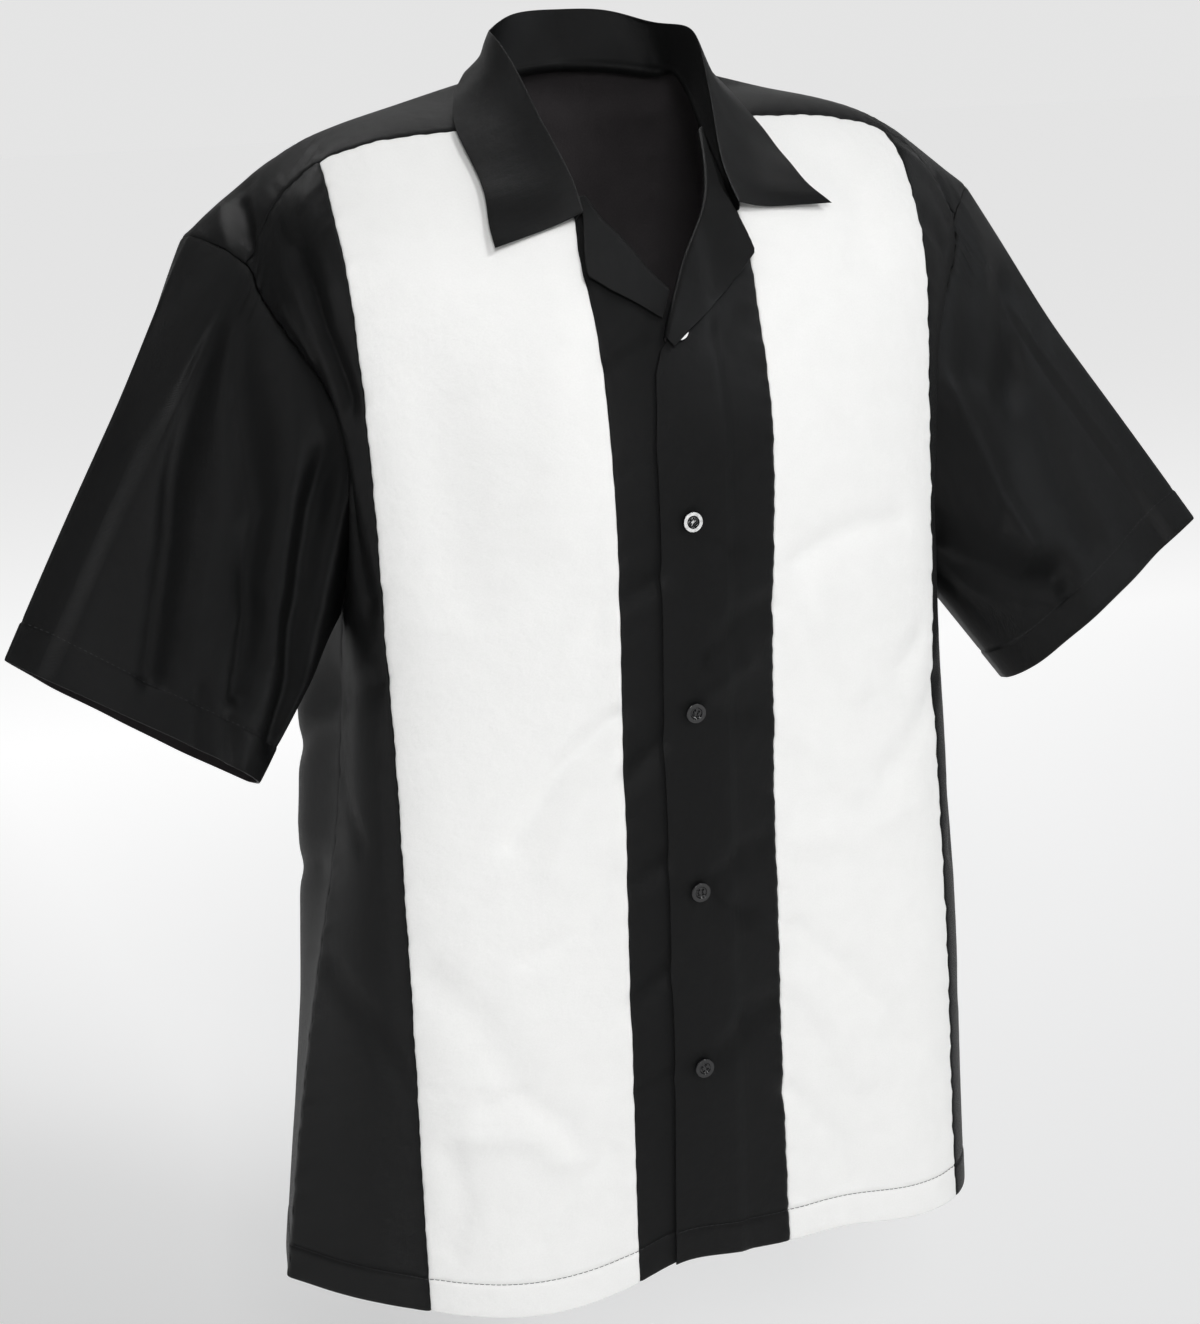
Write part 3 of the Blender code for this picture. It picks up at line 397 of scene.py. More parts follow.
def grid_normals(points, closed=False):
    """Unit normals of a grid of points, across its first axis and along its second."""
    if closed:
        across = np.roll(points, -1, axis=0) - np.roll(points, 1, axis=0)
    else:
        across = np.gradient(points, axis=0, edge_order=2)
    along = np.gradient(points, axis=1, edge_order=2)
    normal = np.cross(across, along)
    return normal / np.linalg.norm(normal, axis=-1, keepdims=True)


# The free edge of each front, from the hem to the foot of its roll line.
FrontEdge = namedtuple("FrontEdge", "run around")
LEFT_FRONT_EDGE = (
    FrontEdge(0.000, -0.034),
    FrontEdge(0.160, -0.031),
    FrontEdge(0.350, -0.033),
    FrontEdge(0.465, -0.033),
    FrontEdge(0.534, -0.0325),
    FrontEdge(0.574, -0.0275),
    FrontEdge(0.587, -0.0210),
)
RIGHT_FRONT_EDGE = (
    FrontEdge(0.000, -0.015),
    FrontEdge(0.560, -0.015),
    FrontEdge(0.590, -0.008),
    FrontEdge(0.612, 0.004),
)
# Lapels, from the foot of the roll line up to the gorge: where the fold and the lapel's outer
# edge lie on the front, and how far each stands off it.
Lapel = namedtuple("Lapel", "fold_around fold_run edge_around edge_run fold_lift edge_lift")
LEFT_LAPEL = (
    Lapel(-0.0180, 0.5930, -0.0125, 0.5870, 0.0050, 0.0054),
    Lapel(-0.0150, 0.5990, -0.0010, 0.5936, 0.0052, 0.0054),
    Lapel(-0.0075, 0.6105, 0.0150, 0.6016, 0.0046, 0.0050),
    Lapel(0.0000, 0.6215, 0.0360, 0.6156, 0.0042, 0.0060),
    Lapel(0.0085, 0.6345, 0.0500, 0.6276, 0.0040, 0.0080),
    Lapel(0.0175, 0.6480, 0.0590, 0.6376, 0.0040, 0.0100),
    Lapel(0.0290, 0.6660, 0.0565, 0.6685, 0.0040, 0.0050),
    Lapel(0.0400, 0.6850, 0.0530, 0.6870, 0.0040, 0.0040),
    Lapel(0.0490, 0.7020, 0.0560, 0.7045, 0.0036, 0.0034),
    Lapel(0.0548, 0.7170, 0.0578, 0.7175, 0.0034, 0.0034),
)
RIGHT_LAPEL = (
    Lapel(0.0040, 0.6205, 0.0150, 0.6040, 0.0040, 0.0030),
    Lapel(0.0130, 0.6290, 0.0320, 0.6136, 0.0040, 0.0040),
    Lapel(0.0210, 0.6400, 0.0470, 0.6216, 0.0040, 0.0050),
    Lapel(0.0290, 0.6536, 0.0600, 0.6316, 0.0040, 0.0060),
    Lapel(0.0385, 0.6660, 0.0575, 0.6556, 0.0040, 0.0050),
    Lapel(0.0440, 0.6736, 0.0562, 0.6720, 0.0038, 0.0040),
    Lapel(0.0500, 0.6860, 0.0562, 0.6860, 0.0036, 0.0034),
)
# The section of a lapel's fold: the distance from its crest, and the share of its height.
LAPEL_FOLD = ((0.0028, 0.0), (0.0008, 0.12), (0.0, 0.42), (0.0008, 0.82), (0.0028, 1.0))
GORGE_RUN = 0.672
# How far past the under front's edge the upper front starts to come down to the body.
PAST_UNDER_EDGE = 0.003


def fronts_of(side):
    """The tables of one front: its free edge and its lapel."""
    return (LEFT_FRONT_EDGE, LEFT_LAPEL) if side > 0 else (RIGHT_FRONT_EDGE, RIGHT_LAPEL)


def overlap_lift(side, arounds):
    """How far the wearer's left front stands off the body surface, over the right front."""
    if side < 0:
        return np.zeros_like(arounds)
    under_edge = -RIGHT_FRONT_EDGE[0].around + PAST_UNDER_EDGE
    return OVERLAP_LIFT * (1 - smooth(arounds, under_edge, under_edge + OVERLAP_FADE))


def lapel_line(row, distance):
    """The point of the front at this distance from a lapel's fold, towards its edge."""
    fold = np.array([row.fold_around, row.fold_run])
    out = np.array([row.edge_around, row.edge_run]) - fold
    return fold + out * distance / np.linalg.norm(out)


# Sections of a sleeve from the armhole to the cuff: where its top and underarm folds lie, and
# how far its front and back bulge from the chord between them, right and left.
Sleeve = namedtuple("Sleeve", "share top under front_right front_left back")
SLEEVE = (
    Sleeve(0.00, (0.258, 0.005, -0.081), (0.188, -0.022, -0.312), 0.048, 0.048, 0.056),
    Sleeve(0.30, (0.300, -0.012, -0.152), (0.209, -0.0285, -0.341), 0.048, 0.046, 0.048),
    Sleeve(0.65, (0.348, -0.035, -0.229), (0.233, -0.0345, -0.374), 0.050, 0.042, 0.036),
    Sleeve(1.00, (0.396, -0.061, -0.308), (0.257, -0.040, -0.407), 0.048, 0.035, 0.028),
)
ARMHOLE_FADE = 0.45
# How far down a sleeve's front bulges most, and how round its back is.
BELLY_DOWN = 0.75
REAR_ROUNDNESS = 0.75
EVEN_SHARE = 0.75
# The waves of a cuff: how far they reach in front and behind, and where they start.
CUFF_WAVE_FRONT, CUFF_WAVE_BACK = 0.0014, -0.0030
CUFF_WAVE_START = 0.7
# The roll of a sleeve's top: how many points it is wide, and how many times it is smoothed.
TOP_ROLL_POINTS, TOP_ROLL_ROUNDS = 9, 7
# How far from the top, the underarm and the armhole the folds fade out.
CLEAR_TOP, CLEAR_UNDER, CLEAR_ARMHOLE = 0.12, 0.10, 0.16
# Folds of the sleeves. Their paths are in shares of the way down a sleeve, and of the way from
# its top to its underarm.
RIGHT_SLEEVE_FOLDS = (
    Fold(((0.04, 0.12), (0.14, 0.14), (0.30, 0.22), (0.53, 0.33), (0.86, 0.44)), 0.0080, 0.0105),
    Fold(((0.10, 0.17), (0.22, 0.30), (0.40, 0.43), (0.70, 0.52)), -0.0030, 0.012),
    Fold(((0.05, 0.17), (0.17, 0.30), (0.29, 0.51), (0.52, 0.64), (0.76, 0.71)), 0.0080, 0.0100),
    Fold(((0.06, 0.36), (0.19, 0.50), (0.36, 0.67), (0.57, 0.76)), -0.0050, 0.012),
    Fold(((0.04, 0.56), (0.16, 0.62), (0.32, 0.77), (0.55, 0.88), (0.80, 0.94)), 0.0160, 0.014),
    Fold(((0.84, 0.60), (1.00, 0.66)), 0.0030, 0.007),
    Fold(((0.86, 0.72), (1.00, 0.80)), 0.0035, 0.007),
    Fold(((0.60, 0.16), (0.82, 0.22)), 0.0016, 0.016),
)
LEFT_SLEEVE_FOLDS = (
    Fold(((0.04, 0.07), (0.18, 0.14), (0.23, 0.17)), -0.0040, 0.013),
    Fold(((0.04, 0.16), (0.07, 0.30), (0.15, 0.43)), 0.0050, 0.011),
    Fold(((0.21, 0.12), (0.29, 0.27), (0.30, 0.35)), 0.0085, 0.013),
    Fold(((0.15, 0.51), (0.39, 0.64), (0.60, 0.66)), -0.0055, 0.013),
    Fold(((0.24, 0.90), (0.45, 0.84), (0.67, 0.75), (0.78, 0.66)), 0.0120, 0.016),
    Fold(((0.45, 0.30), (0.62, 0.40), (0.80, 0.42)), 0.0030, 0.014),
)
BACK_SLEEVE_FOLDS = (
    Fold(((0.10, 0.30), (0.35, 0.48), (0.70, 0.60)), 0.0060, 0.017),
    Fold(((0.12, 0.72), (0.40, 0.80)), 0.0050, 0.015),
)


def sleeve_surface(side, hole, is_front, shares):
    """The sleeve's outer face, for each point of the armhole and each share of the way down."""
    knots = [row.share for row in SLEEVE]
    mirror = np.array([side, 1, 1])
    top = spline(knots, [row.top for row in SLEEVE], shares.ravel()) * mirror
    under = spline(knots, [row.under for row in SLEEVE], shares.ravel()) * mirror
    top, under = top.reshape(shares.shape + (3,)), under.reshape(shares.shape + (3,))
    front = [row.front_left if side > 0 else row.front_right for row in SLEEVE]
    front, rear = (
        np.interp(shares, knots, values) for values in (front, [row.back for row in SLEEVE])
    )
    first, last = SLEEVE[0], SLEEVE[-1]
    chord0 = (np.array(first.under) - first.top) * mirror
    apart = hole - np.array(first.top) * mirror
    down = np.clip((apart @ chord0) / (chord0 @ chord0), 0, 1)
    offset0 = apart - down[:, None] * chord0
    fade = smooth(shares, 0, ARMHOLE_FADE)
    down = down[:, None] + (even_down(is_front) - down)[:, None] * fade
    axis = (np.array(last.top) + last.under - first.top - first.under) * mirror
    chord = under - top
    forward = np.cross(np.broadcast_to(axis, chord.shape), chord)
    forward /= np.linalg.norm(forward, axis=-1, keepdims=True)
    forward *= -np.sign(forward[..., 1:2])
    low_belly = (down / BELLY_DOWN) ** (2 * BELLY_DOWN)
    low_belly = low_belly * ((1 - down) / (1 - BELLY_DOWN)) ** (2 - 2 * BELLY_DOWN)
    even_belly = (4 * down * (1 - down)) ** REAR_ROUNDNESS
    bulge = np.where(is_front[:, None], front * low_belly, -rear * even_belly)
    bulge = fade * bulge - sleeve_fold(side, down, is_front, shares)
    bulge += cuff_ripple(side, down, is_front, shares)
    points = (
        top
        + chord * down[..., None]
        + (1 - fade)[..., None] * offset0[:, None]
        + bulge[..., None] * forward
    )
    return rounded_top(points, fade)


def even_down(is_front):
    """Shares of the way from a sleeve's top to its underarm, spread along its ring of points."""
    front, rear = np.count_nonzero(is_front), np.count_nonzero(~is_front)
    even = np.concatenate([np.linspace(0, 1, front), np.linspace(1, 0, rear + 2)[1:-1]])
    return EVEN_SHARE * even + (1 - EVEN_SHARE) * (0.5 - 0.5 * np.cos(pi * even))


def cuff_ripple(side, down, is_front, shares):
    """How far a cuff waves out and in, more at the back."""
    wave = np.sin(13 * down + 1.7 * side) + 0.6 * np.sin(23 * down + 0.8 - side)
    size = np.where(is_front[:, None], CUFF_WAVE_FRONT, CUFF_WAVE_BACK)
    at_cuff = smooth(shares, CUFF_WAVE_START, 1.0)
    return size * wave * at_cuff * np.clip(6 * down * (1 - down), 0, 1)


def rounded_top(points, fade):
    """The sleeve with its pressed top fold rolled soft."""
    ring = np.arange(len(points))
    from_top = np.minimum(ring, len(points) - ring)
    amount = fade[..., None] * np.exp(-((from_top / TOP_ROLL_POINTS) ** 2))[:, None, None]
    for _ in range(TOP_ROLL_ROUNDS):
        beside = (np.roll(points, 1, axis=0) + np.roll(points, -1, axis=0)) / 2
        points = points + amount * (beside - points)
    return points


def sleeve_fold(side, down, is_front, shares):
    """How far the folds sink a sleeve's front and, towards the wearer's back, its rear."""
    tall, top_length, under_length = sleeve_sizes()
    size = np.array([(top_length + under_length) / 2, tall])
    at = np.stack(np.broadcast_arrays(shares, down), axis=-1) * size
    front, rear = (
        sunk(at, [fold._replace(path=np.array(fold.path) * size) for fold in folds])
        for folds in (LEFT_SLEEVE_FOLDS if side > 0 else RIGHT_SLEEVE_FOLDS, BACK_SLEEVE_FOLDS)
    )
    clear = smooth(down, 0, CLEAR_TOP) * smooth(1 - down, 0, CLEAR_UNDER)
    clear = clear * smooth(shares, 0, CLEAR_ARMHOLE)
    return clear * np.where(is_front[:, None], front, -rear)


def sleeve_sizes():
    """How far apart a sleeve's top and underarm start, and how long each of them is."""
    first, last = SLEEVE[0], SLEEVE[-1]
    ends = ((first.top, first.under), (first.top, last.top), (first.under, last.under))
    return [np.linalg.norm(np.subtract(start, end)) for start, end in ends]


# The collar from the middle of the back to a front end, for each share of the way along the neck
# seam: the crest of its roll, and where its outer edge lies on the body, right and left.
Collar = namedtuple("Collar", "share roll right left lift")
COLLAR = (
    Collar(0.00, (0.0000, 0.0640, 0.0420), (0.0000, 0.8380), (0.0000, 0.8380), 0.006),
    Collar(0.16, (0.0330, 0.0565, 0.0395), (0.0360, 0.8390), (0.0360, 0.8390), 0.006),
    Collar(0.30, (0.0535, 0.0350, 0.0310), (0.0660, 0.8180), (0.0630, 0.8180), 0.006),
    Collar(0.48, (0.0640, -0.0020, 0.0250), (0.0880, 0.7640), (0.0780, 0.7700), 0.005),
    Collar(0.66, (0.0600, -0.0340, 0.0020), (0.1090, 0.7215), (0.0920, 0.7200), 0.005),
    Collar(0.82, (0.0535, -0.0640, -0.0320), (0.1075, 0.6900), (0.1005, 0.6970), 0.005),
    Collar(0.92, (0.0485, -0.0880, -0.0580), (0.1075, 0.6680), (0.1065, 0.6790), 0.006),
    Collar(1.00, (0.0490, -0.1075, -0.0780), (0.1060, 0.6510), (0.1155, 0.6645), 0.007),
)
COLLAR_FOLD = 0.0030
COLLAR_CREST = 0.3
COLLAR_BULGE = 0.0030
# Points along half the neck seam, and the extra sections close to a front end of the collar.
NECK_POINTS = 66
END_SHARES = (0.992, 0.997, 1.0)
# The column of the collar's points near the crest of its roll, and where its fall begins.
CREST_COLUMN = 13
FALL_START = (0.045, 0.060)
# How far the neck edge's lines lie out from it and over the cloth: the edge itself, the turn
# beside it in the neck, and the end of the seam allowance inside the shirt.
NeckLine = namedtuple("NeckLine", "out lift")
NECK_LINES = (NeckLine(0, 0.0012), NeckLine(-0.0016, -0.0008), NeckLine(0.0060, -0.0030))
NECK_TURN = 0.020
EASING_ROUNDS = 10


def neckline(side):
    """The neck edge from the middle of the back to the top of a front, evenly apart: points over
    the edge, beside it in the neck, and inside the shirt, where the seam allowance ends."""
    across = np.linspace(0, INNER, 30)
    down = np.linspace(BACK_NECK, GORGE_RUN, 60)[1:]
    u = side * np.concatenate([across, np.full(len(down), INNER)])
    v = np.concatenate([np.full(len(across), BACK_NECK), down])
    at_back = smooth(v, BACK_NECK - NECK_TURN, BACK_NECK)
    out_u, out_v = side * (1 - at_back), at_back
    lines = [
        over_body(u + row.out * out_u, v + row.out * out_v, np.full(len(u), row.lift))
        for row in NECK_LINES
    ]
    length = lengths_along(lines[0])
    even = np.linspace(0, length[-1], NECK_POINTS)
    return [eased(read_along(even, length, line)) for line in lines]


def eased(points):
    """A line with its corners made round."""
    for _ in range(EASING_ROUNDS):
        points[1:-1] += (points[:-2] - 2 * points[1:-1] + points[2:]) / 4
    return points


def collar_section(neck, roll, edge):
    """One section of the collar: up from the neck seam, over the roll and down to the edge."""
    up = (neck - roll) / np.linalg.norm(neck - roll)
    out = (edge - roll) / np.linalg.norm(edge - roll)
    crest = -(up + out) / np.linalg.norm(up + out)
    away = np.cross(np.cross(up, out), out)
    away /= -np.linalg.norm(away)
    middle = (roll + edge) / 2 + COLLAR_BULGE * away
    path = np.array(
        [
            neck,
            roll + COLLAR_FOLD * up,
            roll + COLLAR_CREST * COLLAR_FOLD * crest,
            roll + COLLAR_FOLD * out,
            middle,
            edge,
        ]
    )
    length = lengths_along(path)
    fold = length[2]
    at = np.concatenate(
        [
            np.linspace(0, fold - COLLAR_FOLD, 8)[:-1],
            np.linspace(fold - COLLAR_FOLD, fold + COLLAR_FOLD, 9),
            np.linspace(fold + COLLAR_FOLD, length[-1] - CLOSE[-1], 20)[1:],
            length[-1] - np.array([*CLOSE[1::-1], 0]),
        ]
    )
    return spline(length, path, at)


def around_at(x, run):
    """The distance round at which the front at this run reaches x."""
    arounds = np.linspace(-INNER, INNER, 61)
    return np.interp(x, body(arounds, run)[:, 0], arounds)


# Where each button stands on the wearer's left front, from the top one down.
Button = namedtuple("Button", "x run")
BUTTONS = (
    Button(-0.0045, 0.5960),
    Button(-0.0070, 0.4890),
    Button(-0.0070, 0.3730),
    Button(-0.0070, 0.2590),
    Button(-0.0070, 0.1420),
)

# Sizes of the dressed cloth.
STEP = 0.0036
CLOSE = np.array([0.0006, 0.0015, 0.0030])
WALL = 0.0009
HEM_WALL = 0.0017
EDGE_WALL = 0.0015
COLLAR_WALL = 0.0006
SEAM_DIP = 0.0008
SEAM_REACH = 0.0013
HEM_PROUD = 0.0005
HEM_FADE = 0.002
STITCH_GROOVE = 0.0009
SOFT_EDGE = 0.00025
COLLAR_CRUMPLE = 0.0005
# Rows of points: along a hem's edge, across its stitches, and just above them.
HEM_EDGE_ROWS = (0, 0.0007, 0.002)
STITCH_ROWS = np.array([-0.0016, -0.0008, 0.0, 0.0008, 0.0016])
ABOVE_HEM = 0.004
SLEEVE_HEM_ROWS = (0.020, 0.0155, 0.011, 0.0065, 0.002, 0.0007, 0.0)
# Where the facing behind a front's edge ends, and about how wide and long the pieces are.
FACING_END = (0.025, 0.029)
CENTRE_WIDTH, SLEEVE_UPPER, SLEEVE_LENGTH = 0.08, 0.24, 0.2
# A lapel: how close its sections are, its points round the fold and beyond it, and its curl.
LAPEL_STEP, LAPEL_FOLD_POINTS = 0.0028, 17
LAPEL_SHARES = np.concatenate([np.linspace(0, 1, 14)[1:-1], [0.965, 0.985, 1.0]])
LAPEL_CURL = 1.3
STITCH_LENGTH = 0.0029
STITCH_SPACE = 0.0006
STITCH_SINK = 0.0005
THREAD = 0.00021
THREAD_SIDES = 6
# The thread of a stitch from end to end: the share of its length, its height over the line of
# the seam, and its thickness as a share of the thread's.
StitchPoint = namedtuple("StitchPoint", "share height thickness")
STITCH = (
    StitchPoint(0.0, -0.0002, 0.5),
    StitchPoint(0.15, 0.0001, 1.0),
    StitchPoint(0.5, 0.00022, 1.0),
    StitchPoint(0.85, 0.0001, 1.0),
    StitchPoint(1.0, -0.0002, 0.5),
)
SIDES = (("left", 1), ("right", -1))


def spaced(low, high, step=STEP):
    """Positions from `low` to `high`, closer together near both ends."""
    count = max(2, int(round((high - low) / step)))
    inner = np.linspace(low + CLOSE[-1], high - CLOSE[-1], count)
    return np.concatenate([[low], low + CLOSE[:-1], inner, (high - CLOSE[:-1])[::-1], [high]])


def spaced_shares(length):
    """Shares of a length, closer together near both of its ends."""
    return spaced(0, length) / length


def joined(*stretches):
    """Stretches of positions that share their end points, as one."""
    return np.unique(np.concatenate(stretches).round(7))


def seam_dip(distance):
    """How far cloth turns in towards a seam."""
    return -SEAM_DIP * np.exp(-((np.abs(distance) / SEAM_REACH) ** 1.5))


def hem_relief(distance, depth):
    """A turned hem stands a little proud, and its stitches draw a groove along its top."""
    starts = smooth(distance, -HEM_FADE / 2, HEM_FADE)
    ends = smooth(distance, depth - HEM_FADE, depth + HEM_FADE)
    groove = np.exp(-(((distance - depth) / SEAM_REACH) ** 2))
    return HEM_PROUD * starts * (1 - ends) - STITCH_GROOVE * groove


def quads_of(shape, closed, cut):
    """Squares over a grid, as point numbers."""
    index = np.arange(shape[0] * shape[1]).reshape(shape)
    near, far = (index, np.roll(index, -1, axis=0)) if closed else (index[:-1], index[1:])
    corners = np.stack([near[:, :-1], far[:, :-1], far[:, 1:], near[:, 1:]], axis=-1)
    return corners[~cut] if cut is not None else corners.reshape(-1, 4)


def rim_of(quads):
    """The edges that only one square uses, in that square's direction."""
    edges = np.concatenate([quads[:, [k, (k + 1) % 4]] for k in range(4)])
    ends = np.sort(edges, axis=1)
    _, where, count = np.unique(ends, axis=0, return_inverse=True, return_counts=True)
    return edges[count[where.ravel()] == 1]


def moved_in(points, normal, rim, amount):
    """The points, with those on the rim moved into the cloth by `amount`."""
    inward = np.cross(normal[rim].mean(axis=1), points[rim[:, 1]] - points[rim[:, 0]])
    inward /= np.linalg.norm(inward, axis=-1, keepdims=True) + 1e-12
    before, after = np.zeros_like(points), np.zeros_like(points)
    after[rim[:, 0]] = inward
    before[rim[:, 1]] = inward
    spread = 1 + (after * before).sum(axis=-1, keepdims=True)
    return points + amount * (after + before) / np.maximum(spread, 0.4)


def lay_out(mesh, flat, round_length):
    """Gives each corner of a face its place in the cut. A ring's last faces run on past its end."""
    loops = np.empty(len(mesh.loops), np.int32)
    mesh.loops.foreach_get("vertex_index", loops)
    at = flat[loops].reshape(-1, 4, 2)
    if round_length:
        wraps = np.ptp(at[..., 0], axis=1) > round_length / 2
        at[..., 0] += np.where(wraps[:, None] & (at[..., 0] < round_length / 2), round_length, 0)
    layer = mesh.uv_layers.new(name="cut")
    layer.data.foreach_set("uv", at.astype(np.float32).ravel())


def shell(name, points, flat, outside, inside, lift=0.0, wall=WALL, closed=False, cut=None):
    """A thin wall of cloth with soft edges. `flat` holds each point's place in its cut."""
    normal = grid_normals(points, closed)
    lift, wall = (np.broadcast_to(x, points.shape[:2])[..., None] for x in (lift, wall))
    quads = quads_of(points.shape[:2], closed, cut)
    used, place = np.unique(quads, return_inverse=True)
    quads = place.reshape(quads.shape)
    outer = (points + normal * lift).reshape(-1, 3)[used]
    wall = wall.reshape(-1, 1)[used]
    normal = normal.reshape(-1, 3)[used]
    flat = flat.reshape(-1, 2)[used]
    rim = rim_of(quads)
    middle = outer - normal * wall / 2
    inner = moved_in(outer - normal * wall, normal, rim, SOFT_EDGE)
    outer = moved_in(outer, normal, rim, SOFT_EDGE)
    count = len(used)
    edge = np.unique(rim)
    number = np.zeros(count, int)
    number[edge] = np.arange(len(edge)) + 2 * count
    a, b = rim[:, 0], rim[:, 1]
    strips = [
        np.stack([b, a, number[a], number[b]], axis=1),
        np.stack([number[b], number[a], a + count, b + count], axis=1),
    ]
    faces = np.concatenate([quads, quads[:, ::-1] + count, *strips])
    mesh = bpy.data.meshes.new(name)
    mesh.from_pydata(np.concatenate([outer, inner, middle[edge]]).tolist(), [], faces.tolist())
    mesh.materials.append(outside)
    mesh.materials.append(inside)
    slots = np.zeros(len(faces), np.int32)
    slots[len(quads) : 2 * len(quads)] = 1
    mesh.polygons.foreach_set("material_index", slots)
    round_length = flat[:, 0].max() * (1 + 1 / points.shape[0]) if closed else None
    lay_out(mesh, np.concatenate([flat, flat, flat[edge]]), round_length)
    mesh.shade_smooth()
    mesh.validate()
    return placed(name, mesh)


def dress(obj, node):
    """Makes a sheet of cloth stand for a node."""
    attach(obj, "root")
    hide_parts(node)


def panel(name, side, low, high, look):
    """A front panel from the hem to the shoulder seam, between two seams."""
    arounds = np.sort(side * spaced(low, high))
    runs = joined(hem_rows(), front_runs())
    u, v = np.meshgrid(arounds, runs, indexing="ij")
    lift = seam_dip(np.abs(u) - low) + seam_dip(np.abs(u) - high) + seam_dip(v - SHOULDER_SEAM)
    lift += hem_relief(v, BODY_HEM)
    wall = np.where(v < BODY_HEM, HEM_WALL, WALL)
    return shell(name, body(u, v), np.stack([u, v], -1), *look, lift=lift, wall=wall)


def hem_rows():
    """Rows of points from an edge to just above its hem's stitches."""
    between = np.linspace(0.005, BODY_HEM - 0.003, 5)
    return joined(HEM_EDGE_ROWS, between, BODY_HEM + STITCH_ROWS)


def front_runs():
    """Rows of points from above the hem to the shoulder seam."""
    return spaced(BODY_HEM + ABOVE_HEM, SHOULDER_SEAM)


def rolled(side, runs):
    """A lapel's sizes at these runs of its roll line."""
    rows = fronts_of(side)[1]
    cut = [lapel_line(row, LAPEL_FOLD[0][0])[1] for row in rows]
    columns = [np.interp(runs, cut, values) for values in np.array(rows).T]
    smoothed = spline(cut, [row[:2] for row in rows], runs).T
    return [Lapel(*row) for row in zip(*smoothed, *columns[2:])]


def roll_ends(side):
    """The runs at which a front's roll line starts and ends."""
    rows = fronts_of(side)[1]
    return [lapel_line(rows[k], LAPEL_FOLD[0][0])[1] for k in (0, -1)]


def centre_front(name, side, look):
    """The strip between a front's edge and its panel, cut away along the roll line."""
    edge = fronts_of(side)[0]
    low, high = roll_ends(side)
    upper = np.linspace(low, high, 40)
    roll = np.array([lapel_line(row, LAPEL_FOLD[0][0]) for row in rolled(side, upper)])
    cut_around = np.concatenate([[row.around for row in edge], roll[:, 0]])
    cut_run = np.concatenate([[row.run for row in edge], roll[:, 1]])
    lower = joined(hem_rows(), spaced(BODY_HEM + ABOVE_HEM, low - CLOSE[-1]))
    runs = np.concatenate([lower, roll[:, 1]])
    start = np.interp(runs, cut_run, cut_around)
    share = spaced_shares(CENTRE_WIDTH)
    u = start + (INNER - start) * share[:, None]
    v = np.broadcast_to(runs, u.shape)
    edge_wall = smooth(u - start, *FACING_END)
    lift = overlap_lift(side, u) + seam_dip(u - INNER) + hem_relief(v, BODY_HEM)
    wall = np.where(v < BODY_HEM, HEM_WALL, EDGE_WALL + (WALL - EDGE_WALL) * edge_wall)
    if side < 0:
        u, v, lift, wall = -u[::-1], v[::-1], lift[::-1], wall[::-1]
    return shell(name, body(u, v), np.stack([u, v], -1), *look, lift=lift, wall=wall)


def lapel(name, side, look):
    """The turned-back corner of a front: out of its cut edge, round the fold and over it."""
    rows = rolled(side, spaced(*roll_ends(side), step=LAPEL_STEP))
    distance, share = np.array(LAPEL_FOLD).T
    knots = np.arange(len(distance))
    at = np.linspace(0, len(distance) - 1, LAPEL_FOLD_POINTS)
    turn, height = spline(knots, np.stack([distance, share], -1), at).T
    u, v, lift = (np.empty((len(at) + len(LAPEL_SHARES), len(rows))) for _ in range(3))
    for k, row in enumerate(rows):
        width = np.hypot(row.edge_around - row.fold_around, row.edge_run - row.fold_run)
        flat = turn[-1] + (width - turn[-1]) * LAPEL_SHARES
        for j, place in enumerate([*turn, *flat]):
            u[j, k], v[j, k] = lapel_line(row, place)
        rise = row.edge_lift - row.fold_lift
        lift[:, k] = [
            *(-CLOTH + height * (row.fold_lift + CLOTH)),
            *(row.fold_lift + rise * LAPEL_SHARES**LAPEL_CURL),
        ]
    lift += overlap_lift(side, u)
    if side < 0:
        u, v, lift = -u[::-1], v[::-1], lift[::-1]
    return shell(name, over_body(u, v, lift), np.stack([u, v], -1), *look, wall=WALL)


def back(name, look):
    """The back in one piece, forward over both shoulders, with the neck cut out of it."""
    arounds = joined(spaced(-EDGE, -INNER), spaced(-INNER, INNER), spaced(INNER, EDGE))
    below_neck = spaced(BACK_NECK, BACK_HEM - BODY_HEM - ABOVE_HEM)
    hem = BACK_HEM - hem_rows()[::-1]
    runs = joined(spaced(SHOULDER_SEAM, BACK_NECK), below_neck, hem)
    u, v = np.meshgrid(arounds, runs, indexing="ij")
    middle_u = (arounds[:-1] + arounds[1:]) / 2
    middle_v = (runs[:-1] + runs[1:]) / 2
    cut = (np.abs(middle_u) < INNER)[:, None] & (middle_v < BACK_NECK)[None]
    lift = seam_dip(np.abs(u) - EDGE) + seam_dip(v - SHOULDER_SEAM)
    lift += hem_relief(BACK_HEM - v, BODY_HEM)
    wall = np.where(BACK_HEM - v < BODY_HEM, HEM_WALL, WALL)
    return shell(name, body(u, v), np.stack([u, v], -1), *look, lift=lift, wall=wall, cut=cut)


def armhole(side):
    """Where an armhole lies, down its front and up its back, and which of it is its front."""
    front = spaced(FRONT_UNDERARM, SHOULDER_SEAM)
    rear = joined(spaced(SHOULDER_SEAM, RIDGE), spaced(RIDGE, BACK_UNDERARM))
    down = np.concatenate([rear[rear <= RIDGE][::-1], front[-2::-1]])
    up = rear[(rear > RIDGE) & (rear < BACK_UNDERARM - 0.0001)][::-1]
    is_front = np.arange(len(down) + len(up)) < len(down)
    return side * EDGE, np.concatenate([down, up]), is_front


